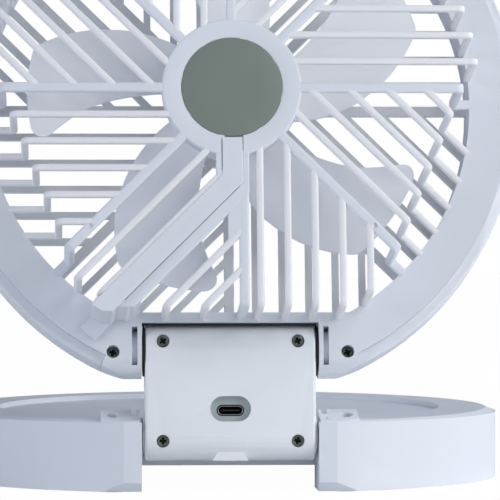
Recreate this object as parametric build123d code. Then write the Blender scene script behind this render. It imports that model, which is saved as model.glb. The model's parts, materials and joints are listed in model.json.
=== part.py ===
from build123d import *
import math
import os

# Rechargeable folding desk fan, in millimetres, standing on z = 0 with its back towards -Y.
# The head is drawn flat, seen from behind: x right, y up, z towards the viewer, hub at zero.

# Sizes that the head and the base share
DISC_R = 103.8
HINGE_INSET = 16.5
KNUCKLE_R = 9.8
EAR_HALF = 45.4
EAR_DEEP = 19.5
CHORD_INSET = 0.1
WALL = 2.2
CUT = 1.0

# Pose and hinge places
LEAN_DEG = 11.0
LOWER_Z = 20.0
AXIS_GAP = 29.5

# Hinge block
BLOCK_W = 60.0
BLOCK_R = 9.1
BLOCK_EDGE = 1.2
BLOCK_END = 12.0
SIDE_GAP = 1.1
SWING_GAP = 1.2
BLOCK_SCREW_X = 23.7
UPPER_SCREW_RISE = 3.85
LOWER_SCREW_DROP = 1.75
BLOCK_SCREW_SEAT = 5.8
BLOCK_SCREW_REACH = 6.0
TAB_TOP_W = 8.8
TAB_FOOT_W = 12.6
TAB_TOP_DROP = 5.6
TAB_FOOT_DROP = 8.7
TAB_OUT = 7.2

# Hinge pins and washers
PIN_R = 2.0
PIN_IN = 4.4
PIN_EAR = 6.7
PIN_FIT = 0.06
SEAT_FIT = 0.02
WASHER_R = 6.5
WASHER_T = 0.75

# Charging socket
USB_RISE = 8.9
USB_W = 8.94
USB_H = 3.26
USB_LONG = 7.35
USB_WALL = 0.3
USB_ROOM = 0.4
USB_SEAT = 1.0
TONGUE_W = 6.7
TONGUE_T = 0.7
RECESS_W = 14.3
RECESS_H = 8.9
RECESS_DEEP = 2.6
RECESS_LIFT = 0.7
USB_BOARD_W = 16.0
USB_BOARD_LONG = 12.0
BOARD_T = 1.6

# Screws
SCREW_R = 1.15
SCREW_HEAD_R = 2.1
SCREW_HEAD_T = 1.6
SCREW_FIT = 0.05
HEAD_FIT = 0.2
CROSS_W = 0.7
CROSS_LONG = 2.6
CROSS_DEEP = 0.8
EAR_SCREW_INSET = 4.2
EAR_SCREW_DROP = 1.5
EAR_SCREW_SINK = 3.6
EAR_SCREW_LONG = 12.0

# Groove round each knuckle
GROOVE_INSET = 11.8
GROOVE_W = 1.9
GROOVE_DEEP = 2.5
GROOVE_RISE = 7.4
GROOVE_FALL = 6.1

# Head ring, depths measured from the hinge axis towards the back
RING_BACK = 9.0
RIM_STEP = 4.0
HEAD_FRONT = 9.0
RIM_BACK = 6.6
RIM_ROUND = 2.0
RING_W = 14.0
OPEN_RISE = 12.4
NOTCH_RISE = 8.9
EAR_SPLIT = 5.0

# Rear grille
RAISED_BACK = 36.0
BAR_W = 2.4
BAR_DEEP = 2.6
BAR_PITCH = 9.5
BAR_COUNT = 5
SPOKE_COUNT = 8
SPOKE_W = 3.5
LEG_T = 2.6
NARROW_INSET = 10.8
LAND = 1.2
LAND_DROP = 2.8
NARROW_DEGS = (180.0, 315.0)
DOWN_SPOKE_X = 3.85
DIMPLE_R = 0.9
DIMPLE_DEEP = 0.6
DIMPLE_INSET = 5.5

# Front grille
FRONT_BARS_BACK = -2.0
FRONT_HUB_R = 21.0
FRONT_CAP_R = 17.0
FRONT_CAP_T = 2.4

# Rear hub and cap
HUB_R = 24.3
HUB_T = 3.6
HUB_SKIRT = 7.0
CAP_R = 17.55
CAP_SINK = 1.2
CAP_T = 1.5
CAP_FIT = 0.05
CAP_EDGE = 0.3

# Cable cover, its rib and the lead below it
RIB_W = 11.5
RIB_BEND_DROP = 35.2
COVER_W = 7.0
COVER_T = 1.5
BEND_DROP = 32.5
ROUTE_OVER = 2.6
TONGUE_LONG = 6.5
LEAD_R = 0.8
LEAD_START = 20.0
LEAD_BEND = 5.0
LEAD_TURN = 1.6
LEAD_INSET = 1.7
CHANNEL_W = 2.4
CHANNEL_DEEP = 2.1

# Motor, depths from the hinge axis towards the back
SHAFT_R = 1.5
SHAFT_FIT = 0.02
BEARING_R = 4.0
BEARING_T = 3.0
TUBE_R = 5.5
TUBE_BORE_R = 3.0
TUBE_FRONT = 17.0
STATOR_R = 15.0
STATOR_CORE_R = 8.0
STATOR_FRONT = 19.0
STATOR_T = 7.0
POLE_COUNT = 9
POLE_W = 2.6
POLE_TIP_T = 1.4
POLE_TIP_DEG = 32.0
COIL_T = 0.9
MOTOR_BOARD_R = 21.5
MOTOR_BOARD_BACK = 31.4
MAGNET_T = 2.0
AIR_GAP = 0.8
CAN_T = 1.2
CAN_FRONT = 13.0
CAN_BACK = 27.6
CAN_BOSS_R = 3.0
CAN_BOSS_T = 2.4
CLIP_R = 3.0
CLIP_T = 0.5
CLIP_GAP = 0.3

# Blades
BLADE_COUNT = 5
BLADE_START_DEG = 22.0
TIP_GAP = 1.1
BLADE_HUB_T = 2.2
BLADE_T = 1.8
BLADE_FRONT = 0.5
BLADE_BACK = 26.5
BLADE_REACH = 34.0
BLADE_CAMBER = 3.0
ROOT_LEAD = 14.0
ROOT_TRAIL = 2.5
MIDDLE_LEAD = 16.0
MIDDLE_TRAIL = 15.5
TIP_LEAD = 1.5
TIP_TRAIL = 31.5
TIP_ROUND = 4.0
MIDDLE_SHARE = 0.65
TRAIL_TIP_SHARE = 0.885

# Base
SEAM_Z = 24.7
FOOT_PROUD = 0.4
FLOOR_Z = 8.5
FLOOR_T = 2.0
NOTCH_FRONT = 12.0
HORN_CHAMFER = 3.5
SHOULDER_RUN = 9.3
SHOULDER_RISE = 4.4
TOP_LIFT = 0.6
EAR_ROOF_DEG = 16.0
COVER_INSET = 0.6
COVER_FIT = 0.2
COVER_LIP = 2.0
TOP_RISE_DEG = 0.7
DISH_INSET = 21.1
DISH_DEEP = 1.8
DISH_LAND = 3.6
FOOT_R = 6.0
FOOT_SINK = 0.6
FOOT_BOSS_T = 1.2
REAR_FOOT_RISE = 3.8
FRONT_FOOT_INSET = 16.3
FRONT_FOOT_DEG = 34.8
BOSS_R = 3.4
BOSS_INSET = 17.7
BOSS_DEG = 46.0
BASE_SCREW_LONG = 10.0
CELL_W = 45.0
CELL_LONG = 60.0
CELL_T = 9.0
CELL_X = 42.0
CELL_GAP = 4.5
CELL_ROUND = 3.0
CONTROL_W = 60.0
CONTROL_LONG = 36.0
POST_R = 2.2
POST_H = 4.0
POST_INSET = 4.0

# Speed dial
DIAL_INSET = 54.0
DIAL_R = 17.0
DIAL_H = 7.6
DIAL_GAP = 0.4
WELL_DEEP = 0.3
DIAL_SIDE_GAP = 1.2
DIAL_EDGE = 1.0
DIAL_FLUTES = 18
FLUTE_R = 1.6
FLUTE_DEEP = 0.6
MARK_W = 1.2
MARK_LONG = 9.0
MARK_DEEP = 0.5
STEM_R = 3.0
STEM_FIT = 0.05
STEM_GRIP = 5.0
STEM_LIFT = 0.3
POT_R = 8.0
POT_H = 5.0
POT_BORE = 4.0
LENS_AHEAD = 26.0
LENS_W = 10.0
LENS_LONG = 3.0
LENS_PROUD = 0.3

# Worked out from the sizes above
HINGE_REACH = DISC_R - HINGE_INSET
RING_R = DISC_R - RIM_STEP
OPEN_R = RING_R - RING_W
OPEN_DROP = HINGE_REACH - OPEN_RISE
NARROW_REACH = OPEN_R - NARROW_INSET
WIDE_R = OPEN_R + LAND
WIDE_DROP = OPEN_DROP + LAND_DROP
ROUTE_END_R = WIDE_R + ROUTE_OVER
BLADE_TIP_R = NARROW_REACH - LEG_T - TIP_GAP
EAR_SCREW_X = EAR_HALF - EAR_SCREW_INSET
EAR_SCREW_REACH = HINGE_REACH + EAR_SCREW_DROP
GROOVE_X = EAR_HALF - GROOVE_INSET
DISH_R = DISC_R - DISH_INSET
DIAL_Y = DISC_R - DIAL_INSET
LENS_Y = DIAL_Y + LENS_AHEAD
CELL_Y = DIAL_Y - CONTROL_LONG / 2 - CELL_GAP - CELL_LONG / 2
CHORD_REACH = HINGE_REACH + KNUCKLE_R - CHORD_INSET
UPPER_Z = LOWER_Z + AXIS_GAP
AXIS_Y = -HINGE_REACH
BLOCK_HALF = BLOCK_W / 2
NOTCH_HALF = BLOCK_HALF + SIDE_GAP
SWING_R = BLOCK_R + SWING_GAP
SPOKE_STEP = 360 / SPOKE_COUNT
DOWN_DEG = SPOKE_STEP * 6
ROUTE_DEG = SPOKE_STEP * 5
DIMPLE_DEGS = (SPOKE_STEP * 5, SPOKE_STEP * 7)
SLANT = math.sqrt(0.5)
TOP_Z = SEAM_Z + TOP_LIFT
COVER_PLATE = DISH_DEEP + WALL
FLOOR_TOP = FLOOR_Z + FLOOR_T
NOTCH_Y = AXIS_Y + NOTCH_FRONT
FAR = DISC_R * 4
HUB_FACE = RAISED_BACK - CAP_SINK
BEARING_BACK = HUB_FACE - CAP_SINK
MAGNET_IN = STATOR_R + AIR_GAP
CAN_IN = MAGNET_IN + MAGNET_T
CAN_R = CAN_IN + CAN_T
BLADE_HUB_R = CAN_R + SEAT_FIT + BLADE_HUB_T
LEAN = math.radians(LEAN_DEG)


def slab(face, low, high):
    """Extrude a flat shape between two heights."""
    return Pos(0, 0, low) * extrude(face, high - low)


def tube(outer, inner, low, high):
    """A round tube on the Z axis between two heights."""
    return slab(Circle(outer) - Circle(inner), low, high)


def rod_x(radius, start, end, y, z):
    """A round rod along X from start to end."""
    return Pos((start + end) / 2, y, z) * Rot(0, 90, 0) * Cylinder(radius, abs(end - start))


def block_of(x0, x1, y0, y1, z0, z1):
    """A box between two corners."""
    middle = Pos((x0 + x1) / 2, (y0 + y1) / 2, (z0 + z1) / 2)
    return middle * Box(abs(x1 - x0), abs(y1 - y0), abs(z1 - z0))


def rect_of(x0, x1, y0, y1):
    """A flat rectangle between two corners."""
    return Pos((x0 + x1) / 2, (y0 + y1) / 2) * Rectangle(abs(x1 - x0), abs(y1 - y0))


def below(level):
    """The flat half plane below a level."""
    return rect_of(-FAR, FAR, level - FAR, level)


def both_sides(make):
    """The same piece on the right and on the left."""
    return Part() + [make(1), make(-1)]


def screw(length):
    """A cross head screw: head on z = 0 upwards, shank downwards."""
    body = slab(Circle(SCREW_HEAD_R), 0, SCREW_HEAD_T) + slab(Circle(SCREW_R), -length, 0)
    cross = Rectangle(CROSS_LONG, CROSS_W) + Rectangle(CROSS_W, CROSS_LONG)
    return body - slab(cross, SCREW_HEAD_T - CROSS_DEEP, SCREW_HEAD_T + CUT)


def screw_hole(length, sink):
    """The room that a screw and its sunk head need."""
    head = slab(Circle(SCREW_HEAD_R + HEAD_FIT), 0, sink)
    return head + slab(Circle(SCREW_R + SCREW_FIT), -length - SCREW_FIT, 0)


def ear_face():
    """The flat outline of both ears, cut to the round disc."""
    def side(sign):
        return rect_of(sign * NOTCH_HALF, sign * EAR_HALF, -CHORD_REACH, EAR_DEEP - CHORD_REACH)
    return (Sketch() + [side(1), side(-1)]) & Circle(DISC_R)


def ear_wedge(grow=0):
    """The wedge from the hub that holds the ears in the outer rim of the head."""
    side = FAR * math.tan(math.asin((EAR_HALF + grow) / DISC_R))
    return Polygon((0, 0), (-side, -FAR), (side, -FAR), align=None)


def knuckle_trim(y, z):
    """What is cut away to round the ears about a hinge axis, on the +Z side and the -Z side."""
    behind = block_of(-FAR, FAR, y - FAR, y, z - FAR, z + FAR)
    return behind - rod_x(KNUCKLE_R, -FAR, FAR, y, z)


def ear_grooves(y, z):
    """The narrow grooves round both knuckles, on their outer side."""
    def side(sign):
        start = sign * (GROOVE_X - GROOVE_W / 2)
        end = sign * (GROOVE_X + GROOVE_W / 2)
        ring = rod_x(KNUCKLE_R * 2, start, end, y, z)
        ring -= rod_x(KNUCKLE_R - GROOVE_DEEP, start, end, y, z)
        return ring & block_of(start, end, y - GROOVE_FALL, y + GROOVE_RISE, z, z + FAR)
    return both_sides(side)


def ear_bores(y, z):
    """The blind bores in both ears for the hinge pins."""
    def side(sign):
        end = NOTCH_HALF + PIN_EAR + SIDE_GAP / 2
        return rod_x(PIN_R + PIN_FIT, sign * (NOTCH_HALF - CUT), sign * end, y, z)
    return both_sides(side)


def ear_screw_seat():
    """Depth of the ear screws' seat from the hinge axis."""
    drop = EAR_SCREW_REACH - HINGE_REACH
    return math.sqrt(KNUCKLE_R ** 2 - drop ** 2) - EAR_SCREW_SINK - SCREW_HEAD_T


def ear_screws(z):
    """Both ear screws, above a hinge axis at height z."""
    def side(sign):
        place = Pos(sign * EAR_SCREW_X, -EAR_SCREW_REACH, z + ear_screw_seat())
        return place * screw(EAR_SCREW_LONG)
    return both_sides(side)


def ear_screw_holes(z):
    """The holes for both ear screws."""
    def side(sign):
        place = Pos(sign * EAR_SCREW_X, -EAR_SCREW_REACH, z + ear_screw_seat())
        return place * screw_hole(EAR_SCREW_LONG, KNUCKLE_R)
    return both_sides(side)


def opening():
    """The round opening of the head, flat at its foot."""
    return Circle(OPEN_R) - below(-OPEN_DROP)


def swing_room():
    """The notch that the hinge block turns in."""
    round_room = rod_x(SWING_R, -NOTCH_HALF, NOTCH_HALF, AXIS_Y, 0)
    under = block_of(-NOTCH_HALF, NOTCH_HALF, AXIS_Y - FAR, AXIS_Y, -FAR, FAR)
    front = block_of(-NOTCH_HALF, NOTCH_HALF, AXIS_Y - FAR, AXIS_Y + SWING_R, -FAR, 0)
    rear = block_of(-NOTCH_HALF, NOTCH_HALF, AXIS_Y - FAR, AXIS_Y + NOTCH_RISE, 0, FAR)
    return round_room + under + front + rear


def bar(angle, offset, start, end, width):
    """A flat bar along an angle, moved sideways by an offset."""
    return Rot(0, 0, angle) * rect_of(start, end, offset - width / 2, offset + width / 2)


def sector_bars(sector):
    """The slats of one sector, parallel to its first spoke and starting on its second."""
    angle = sector * SPOKE_STEP
    shift = DOWN_SPOKE_X / SLANT if angle + SPOKE_STEP == DOWN_DEG else 0
    rows = [BAR_PITCH * (row + 1) for row in range(BAR_COUNT)]
    return [bar(angle, row, row - shift, FAR / 2, BAR_W) for row in rows]


def all_spokes():
    """The spokes, with the one that points down moved beside the cable rib."""
    spokes = []
    for number in range(SPOKE_COUNT):
        angle = number * SPOKE_STEP
        sideways = DOWN_SPOKE_X if angle == DOWN_DEG else 0
        spokes.append(bar(angle, sideways, 0, FAR / 2, SPOKE_W))
    return Sketch() + spokes


def octagon(reach):
    """An octagon with its corners on the spokes."""
    return RegularPolygon(reach, SPOKE_COUNT, major_radius=False)


def wide_limit(grow=0):
    """Outline of the slats that run out to the ring."""
    return Circle(WIDE_R + grow) - below(-WIDE_DROP - grow)


def stepped(pattern, limit, inner_limit, reach):
    """Slats at the raised level, their legs, and their feet at ring level."""
    raised = slab(pattern & limit, RAISED_BACK - BAR_DEEP, RAISED_BACK)
    legs = slab(pattern & (limit - inner_limit), RING_BACK - WALL, RAISED_BACK)
    feet = pattern & (reach - inner_limit)
    return [raised, legs, slab(feet, RING_BACK - WALL, RING_BACK)]


def route_limit(grow=0):
    """Outline that ends the cable rib on the ring."""
    return Circle(ROUTE_END_R + grow) - below(-WIDE_DROP - grow)


def route_end():
    """How far the cable route runs along its slanted part."""
    half = BEND_DROP * SLANT
    return math.sqrt(ROUTE_END_R ** 2 - half ** 2) - half


def route_strip(width, start, drop, extra=0):
    """The flat strip of the cable route: down from the hub to a drop, then out to the ring."""
    turn = width / 2 * math.tan(math.radians(SPOKE_STEP / 2))
    down = rect_of(-width / 2, width / 2, -drop - turn, -start)
    slant = Pos(0, -drop) * bar(ROUTE_DEG, 0, -turn, route_end() + extra, width)
    corner = Pos(0, -drop) * Circle(width / 2)
    return down + slant + corner


def route_place(along, depth):
    """A point on the slanted part of the cable route."""
    step = along * SLANT
    return (-step, -BEND_DROP - step, depth)


def rear_grille():
    """The raised grille: hub, spokes, slats and the rib under the cable cover."""
    opened = offset(opening(), WALL / 2)
    narrow = []
    wide = []
    for sector in range(SPOKE_COUNT):
        chosen = narrow if sector * SPOKE_STEP in NARROW_DEGS else wide
        chosen.extend(sector_bars(sector))
    octagon_out = octagon(NARROW_REACH)
    octagon_in = octagon(NARROW_REACH - LEG_T)
    corner_r = NARROW_REACH / math.cos(math.pi / SPOKE_COUNT)
    spoke_out = Circle(corner_r) - below(-WIDE_DROP)
    spoke_in = Circle(corner_r - LEG_T) - below(-WIDE_DROP + LEG_T)
    pieces = stepped(Sketch() + narrow, octagon_out, octagon_in, opened)
    pieces += stepped(Sketch() + wide, wide_limit(), wide_limit(-LEG_T), opened)
    pieces += stepped(all_spokes(), spoke_out, spoke_in, opened)
    rib = route_strip(RIB_W, CAP_R, RIB_BEND_DROP, RIB_W)
    pieces += stepped(rib, route_limit(), route_limit(-LEG_T), opened)
    pieces.append(tube(HUB_R, HUB_R - WALL, RAISED_BACK - HUB_SKIRT, RAISED_BACK))
    pieces.append(slab(Circle(HUB_R), RAISED_BACK - HUB_T, RAISED_BACK))
    grille = Part() + pieces
    grille -= slab(Circle(HUB_R - WALL), RAISED_BACK - HUB_SKIRT - CUT, RAISED_BACK - HUB_T)
    grille -= slab(Circle(CAP_R + CAP_FIT), HUB_FACE, RAISED_BACK + CUT)
    grille -= slab(Circle(TUBE_R + SEAT_FIT), HUB_FACE - HUB_T, HUB_FACE + CUT)
    channel = route_strip(CHANNEL_W, LEAD_START, BEND_DROP)
    grille -= slab(channel, RAISED_BACK - CHANNEL_DEEP, RAISED_BACK + CUT)
    lead_hole = slab(Circle(CHANNEL_W / 2), HUB_FACE - HUB_T, RAISED_BACK)
    grille -= Pos(0, -LEAD_START) * lead_hole
    for angle in DIMPLE_DEGS:
        dimple = slab(Circle(DIMPLE_R), RAISED_BACK - DIMPLE_DEEP, RAISED_BACK + CUT)
        grille -= Rot(0, 0, angle) * Pos(NARROW_REACH - DIMPLE_INSET, 0) * dimple
    return grille


def head_rear_shell():
    """Ring, ears and raised grille in one moulding."""
    inside = opening()
    plate = Circle(RING_R) - below(-CHORD_REACH) - inside
    lip = offset(inside, WALL) - inside
    ring = slab(plate, RING_BACK - WALL, RING_BACK) + slab(lip, 0, RING_BACK)
    ring += slab(ear_face() & (Circle(RING_R) + ear_wedge()), -EAR_SPLIT, RING_BACK)
    shell = ring + rear_grille()
    lead_way = Pos(*route_place(route_end() - LEAD_INSET, 0))
    shell -= lead_way * slab(Circle(CHANNEL_W / 2), 0, RAISED_BACK)
    shell -= knuckle_trim(AXIS_Y, 0)
    shell -= swing_room()
    shell -= ear_bores(AXIS_Y, 0)
    shell -= ear_grooves(AXIS_Y, 0)
    return shell - ear_screw_holes(0)


def head_front_shell():
    """Side wall, front face and front grille in one moulding."""
    inside = opening()
    rim = Circle(DISC_R) - Circle(RING_R + COVER_FIT)
    wall = slab(rim, -HEAD_FRONT, RIM_BACK)
    circles = wall.edges().filter_by(GeomType.CIRCLE)
    outer = circles.filter_by(lambda edge: edge.radius > DISC_R - CUT / 2)
    wall = fillet(outer, RIM_ROUND / 2)
    face = Circle(DISC_R - RIM_ROUND) - below(-CHORD_REACH) - inside
    lip = offset(inside, WALL) - inside
    shell = wall + slab(face, -HEAD_FRONT, -HEAD_FRONT + WALL) + slab(lip, -HEAD_FRONT, 0)
    shell += slab(ear_face() & Circle(DISC_R - RIM_ROUND), -HEAD_FRONT, -EAR_SPLIT)
    bars = [part for sector in range(SPOKE_COUNT) for part in sector_bars(sector)]
    grille = ((Sketch() + bars) + all_spokes()) & offset(inside, WALL / 2)
    shell += slab(grille + Circle(FRONT_HUB_R), FRONT_BARS_BACK - BAR_DEEP, FRONT_BARS_BACK)
    cap_seat = FRONT_BARS_BACK - BAR_DEEP
    shell -= slab(Circle(FRONT_CAP_R + CAP_FIT), cap_seat - CUT, cap_seat + BAR_DEEP / 2)
    half = EAR_HALF + COVER_FIT
    ears = rect_of(-half, half, -FAR, EAR_DEEP - CHORD_REACH + COVER_FIT) & Circle(RING_R + COVER_FIT)
    shell -= slab(ears, -EAR_SPLIT, FAR)
    shell -= slab(ear_wedge(COVER_FIT) - Circle(RING_R), -EAR_SPLIT, FAR)
    shell -= slab(below(-CHORD_REACH), -FAR, FAR)
    shell -= knuckle_trim(AXIS_Y, 0)
    shell -= swing_room()
    return shell - ear_screw_holes(0)


def front_hub_cap():
    """The plain disc in the middle of the front grille."""
    seat = FRONT_BARS_BACK - BAR_DEEP / 2
    return slab(Circle(FRONT_CAP_R), seat - FRONT_CAP_T, seat)


def rear_hub_cap():
    """The flat disc in the rear hub."""
    cap = slab(Circle(CAP_R), HUB_FACE, HUB_FACE + CAP_T)
    return fillet(cap.edges().group_by(Axis.Z)[-1], CAP_EDGE)


def cable_cover():
    """The strip over the motor lead, with a flap down to the ring and a tongue on it."""
    top = RAISED_BACK + COVER_T
    strip = route_strip(COVER_W, CAP_R + HEAD_FIT, BEND_DROP, TONGUE_LONG) - Circle(CAP_R + HEAD_FIT)
    cover = slab(strip & route_limit(COVER_T), RAISED_BACK, top)
    cover += slab(strip & (route_limit(COVER_T) - route_limit()), RING_BACK, top)
    return cover + slab(strip - route_limit(), RING_BACK, RING_BACK + COVER_T)


def motor_lead():
    """The lead from the motor board, through its channel, into the ring."""
    depth = RAISED_BACK - CHANNEL_DEEP / 2
    far = route_end() - LEAD_INSET
    points = [
        (0, -LEAD_START, MOTOR_BOARD_BACK),
        (0, -LEAD_START, depth),
        (0, -BEND_DROP, depth),
        route_place(far, depth),
        route_place(far, RING_BACK - WALL),
    ]
    path = FilletPolyline(*points, radius=[LEAD_TURN, LEAD_BEND, LEAD_TURN])
    section = Plane(origin=points[0], z_dir=(0, 0, 1)) * Circle(LEAD_R)
    return sweep(section, path)


def bearing_tube():
    """The tube that carries the bearings and the stator."""
    long_tube = tube(TUBE_R, BEARING_R + SEAT_FIT, TUBE_FRONT, HUB_FACE)
    return long_tube + tube(TUBE_R, TUBE_BORE_R, TUBE_FRONT + BEARING_T, BEARING_BACK - BEARING_T)


def motor_bearings():
    """Two small bearings, one at each end of the tube."""
    front = tube(BEARING_R, SHAFT_R + SHAFT_FIT, TUBE_FRONT, TUBE_FRONT + BEARING_T)
    back = tube(BEARING_R, SHAFT_R + SHAFT_FIT, BEARING_BACK - BEARING_T, BEARING_BACK)
    return Part() + [front, back]


def motor_stator():
    """The stator core with its poles."""
    core = Circle(STATOR_CORE_R) - Circle(TUBE_R + SEAT_FIT)
    tips = Circle(STATOR_R) - Circle(STATOR_R - POLE_TIP_T)
    faces = [core]
    for number in range(POLE_COUNT):
        angle = number * 360 / POLE_COUNT
        faces.append(bar(angle, 0, STATOR_CORE_R - POLE_TIP_T, STATOR_R - POLE_TIP_T / 2, POLE_W))
        half = math.tan(math.radians(POLE_TIP_DEG / 2)) * STATOR_R
        wedge = Polygon((0, 0), (STATOR_R, -half), (STATOR_R, half), align=None)
        faces.append(Rot(0, 0, angle) * (tips & wedge))
    return slab(Sketch() + faces, STATOR_FRONT, STATOR_FRONT + STATOR_T)


def motor_coils():
    """One winding round each pole."""
    inner = STATOR_CORE_R + HEAD_FIT
    outer = STATOR_R - POLE_TIP_T - HEAD_FIT
    middle = STATOR_FRONT + STATOR_T / 2
    wide = POLE_W + SEAT_FIT * 2
    deep = STATOR_T + SEAT_FIT * 2
    coil = Box(outer - inner, wide + COIL_T * 2, deep + COIL_T * 2)
    coil -= Box(outer - inner + CUT, wide, deep)
    placed = Pos((inner + outer) / 2, 0, middle) * coil
    step = 360 / POLE_COUNT
    return Part() + [Rot(0, 0, number * step) * placed for number in range(POLE_COUNT)]


def motor_board():
    """The round drive board behind the stator."""
    return tube(MOTOR_BOARD_R, TUBE_R + SEAT_FIT, MOTOR_BOARD_BACK - BOARD_T, MOTOR_BOARD_BACK)


def rotor_can():
    """The steel cup that turns round the stator."""
    cup = slab(Circle(CAN_R), CAN_FRONT, CAN_BACK)
    cup -= slab(Circle(CAN_IN), CAN_FRONT + CAN_T, CAN_BACK + CUT)
    cup += slab(Circle(CAN_BOSS_R), CAN_FRONT, CAN_FRONT + CAN_BOSS_T)
    return cup - slab(Circle(SHAFT_R + SEAT_FIT), CAN_FRONT - CUT, CAN_BACK)


def magnet_ring():
    """The magnet inside the can."""
    back = STATOR_FRONT + STATOR_T + AIR_GAP
    return tube(CAN_IN - SEAT_FIT, MAGNET_IN, STATOR_FRONT - AIR_GAP, back)


def motor_shaft():
    """The shaft in both bearings."""
    return slab(Circle(SHAFT_R), CAN_FRONT, BEARING_BACK + CLIP_GAP + CLIP_T)


def shaft_clip():
    """The clip that keeps the shaft in its rear bearing."""
    front = BEARING_BACK + CLIP_GAP
    return tube(CLIP_R, SHAFT_R + SEAT_FIT, front, front + CLIP_T)


def blade_outline():
    """Outline of one blade along X: a round leading edge, a hollow trailing edge, a round tip."""
    middle = BLADE_TIP_R * MIDDLE_SHARE
    root = CAN_R - BLADE_HUB_T
    tip_lead = (BLADE_TIP_R, -TIP_LEAD)
    tip_trail = (BLADE_TIP_R * TRAIL_TIP_SHARE, TIP_TRAIL)
    tip_angle = math.atan2(TIP_TRAIL - TIP_LEAD, BLADE_TIP_R * 2)
    tip_middle = (BLADE_TIP_R * math.cos(tip_angle), BLADE_TIP_R * math.sin(tip_angle))
    edges = [
        ThreePointArc((root, -ROOT_LEAD), (middle, -MIDDLE_LEAD), tip_lead),
        ThreePointArc(tip_lead, tip_middle, tip_trail),
        ThreePointArc(tip_trail, (middle, MIDDLE_TRAIL), (root, ROOT_TRAIL)),
        Line((root, ROOT_TRAIL), (root, -ROOT_LEAD)),
    ]
    face = make_face(Curve() + edges)
    return fillet(face.vertices().sort_by(Axis.X)[-2:], TIP_ROUND)


def fan_blade():
    """One cambered blade along X."""
    middle = (BLADE_FRONT + BLADE_BACK) / 2
    low = (-BLADE_REACH, BLADE_FRONT)
    high = (BLADE_REACH, BLADE_BACK)
    bulge = (0, middle + BLADE_CAMBER)
    arc = ThreePointArc(low, bulge, high)
    thick = offset(arc, BLADE_T / 2, kind=Kind.ARC)
    plate = extrude(Plane.YZ * make_face(thick), BLADE_TIP_R + CUT)
    trimmed = plate & slab(blade_outline(), 0, RAISED_BACK)
    return trimmed - slab(Circle(CAN_R + SEAT_FIT), 0, RAISED_BACK)


def fan_blades():
    """The blade wheel that is pressed on the can."""
    hub = slab(Circle(BLADE_HUB_R), CAN_FRONT - BLADE_HUB_T, CAN_BACK)
    hub -= slab(Circle(CAN_R + SEAT_FIT), CAN_FRONT, CAN_BACK + CUT)
    one = fan_blade()
    step = 360 / BLADE_COUNT
    angles = [BLADE_START_DEG + number * step for number in range(BLADE_COUNT)]
    return hub + [Rot(0, 0, angle) * one for angle in angles]


def stadium(radius):
    """Side outline of the hinge block, in the YZ plane."""
    upright = rect_of(AXIS_Y - radius, AXIS_Y + radius, LOWER_Z, UPPER_Z)
    return upright + Pos(AXIS_Y, LOWER_Z) * Circle(radius) + Pos(AXIS_Y, UPPER_Z) * Circle(radius)


def block_tab():
    """The small flat tab at the foot of the rear cover."""
    top = LOWER_Z - TAB_TOP_DROP
    foot = LOWER_Z - TAB_FOOT_DROP
    corners = [
        (-TAB_FOOT_W / 2, foot),
        (TAB_FOOT_W / 2, foot),
        (TAB_TOP_W / 2, top),
        (-TAB_TOP_W / 2, top),
    ]
    face = Plane.XZ.offset(-AXIS_Y) * Polygon(*corners, align=None)
    return extrude(face, TAB_OUT)


def block_screw_places():
    """Places of the four block screws, heads towards the back."""
    heights = (UPPER_Z + UPPER_SCREW_RISE, LOWER_Z - LOWER_SCREW_DROP)
    spots = [(side * BLOCK_SCREW_X, height) for side in (1, -1) for height in heights]
    return [Pos(x, AXIS_Y - BLOCK_SCREW_SEAT, z) * Rot(90, 0, 0) for x, z in spots]


def block_solid():
    """The whole block, hollow in the middle, with its bores and screw holes."""
    body = extrude(Plane.YZ * stadium(BLOCK_R), BLOCK_HALF, both=True)
    ends = body.edges().group_by(Axis.X)
    body = fillet(ends[0] + ends[-1], BLOCK_EDGE)
    body -= extrude(Plane.YZ * stadium(BLOCK_R - WALL), BLOCK_HALF - BLOCK_END, both=True)
    for height in (LOWER_Z, UPPER_Z):
        for sign in (1, -1):
            inner = sign * (BLOCK_HALF - PIN_IN)
            body -= rod_x(PIN_R + SEAT_FIT, inner, sign * (BLOCK_HALF + CUT), AXIS_Y, height)
    for place in block_screw_places():
        body -= place * screw_hole(BLOCK_SCREW_SEAT + BLOCK_SCREW_REACH, BLOCK_R)
    return body


def usb_pill(width, height, low, high, z):
    """A pill shaped prism along Y, between two places, at a height."""
    face = Plane.XZ.offset(-high) * (Pos(0, z) * SlotOverall(width, height))
    return extrude(face, high - low)


def block_rear_cover():
    """The rear half of the block, with the charging recess and the tab."""
    back = AXIS_Y - BLOCK_R
    rear = block_of(-BLOCK_W, BLOCK_W, AXIS_Y - FAR, AXIS_Y, -FAR, FAR)
    usb_z = LOWER_Z + USB_RISE
    recess_z = usb_z + RECESS_LIFT
    floor = back + RECESS_DEEP
    cover = (block_solid() & rear) + block_tab()
    wide = RECESS_W + WALL * 2
    high = RECESS_H + WALL * 2
    cover += usb_pill(wide, high, back + WALL / 2, floor + USB_SEAT, recess_z)
    cover -= usb_pill(RECESS_W, RECESS_H, back - CUT, floor, recess_z)
    room = USB_ROOM * 2
    return cover - usb_pill(USB_W + room, USB_H + room, floor - CUT, floor + USB_LONG, usb_z)


def block_front_shell():
    """The front half of the block."""
    return block_solid() & block_of(-BLOCK_W, BLOCK_W, AXIS_Y, AXIS_Y + FAR, -FAR, FAR)


def block_cover_screws():
    """Four screws that close the block."""
    length = BLOCK_SCREW_SEAT + BLOCK_SCREW_REACH
    return Part() + [place * screw(length) for place in block_screw_places()]


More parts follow.
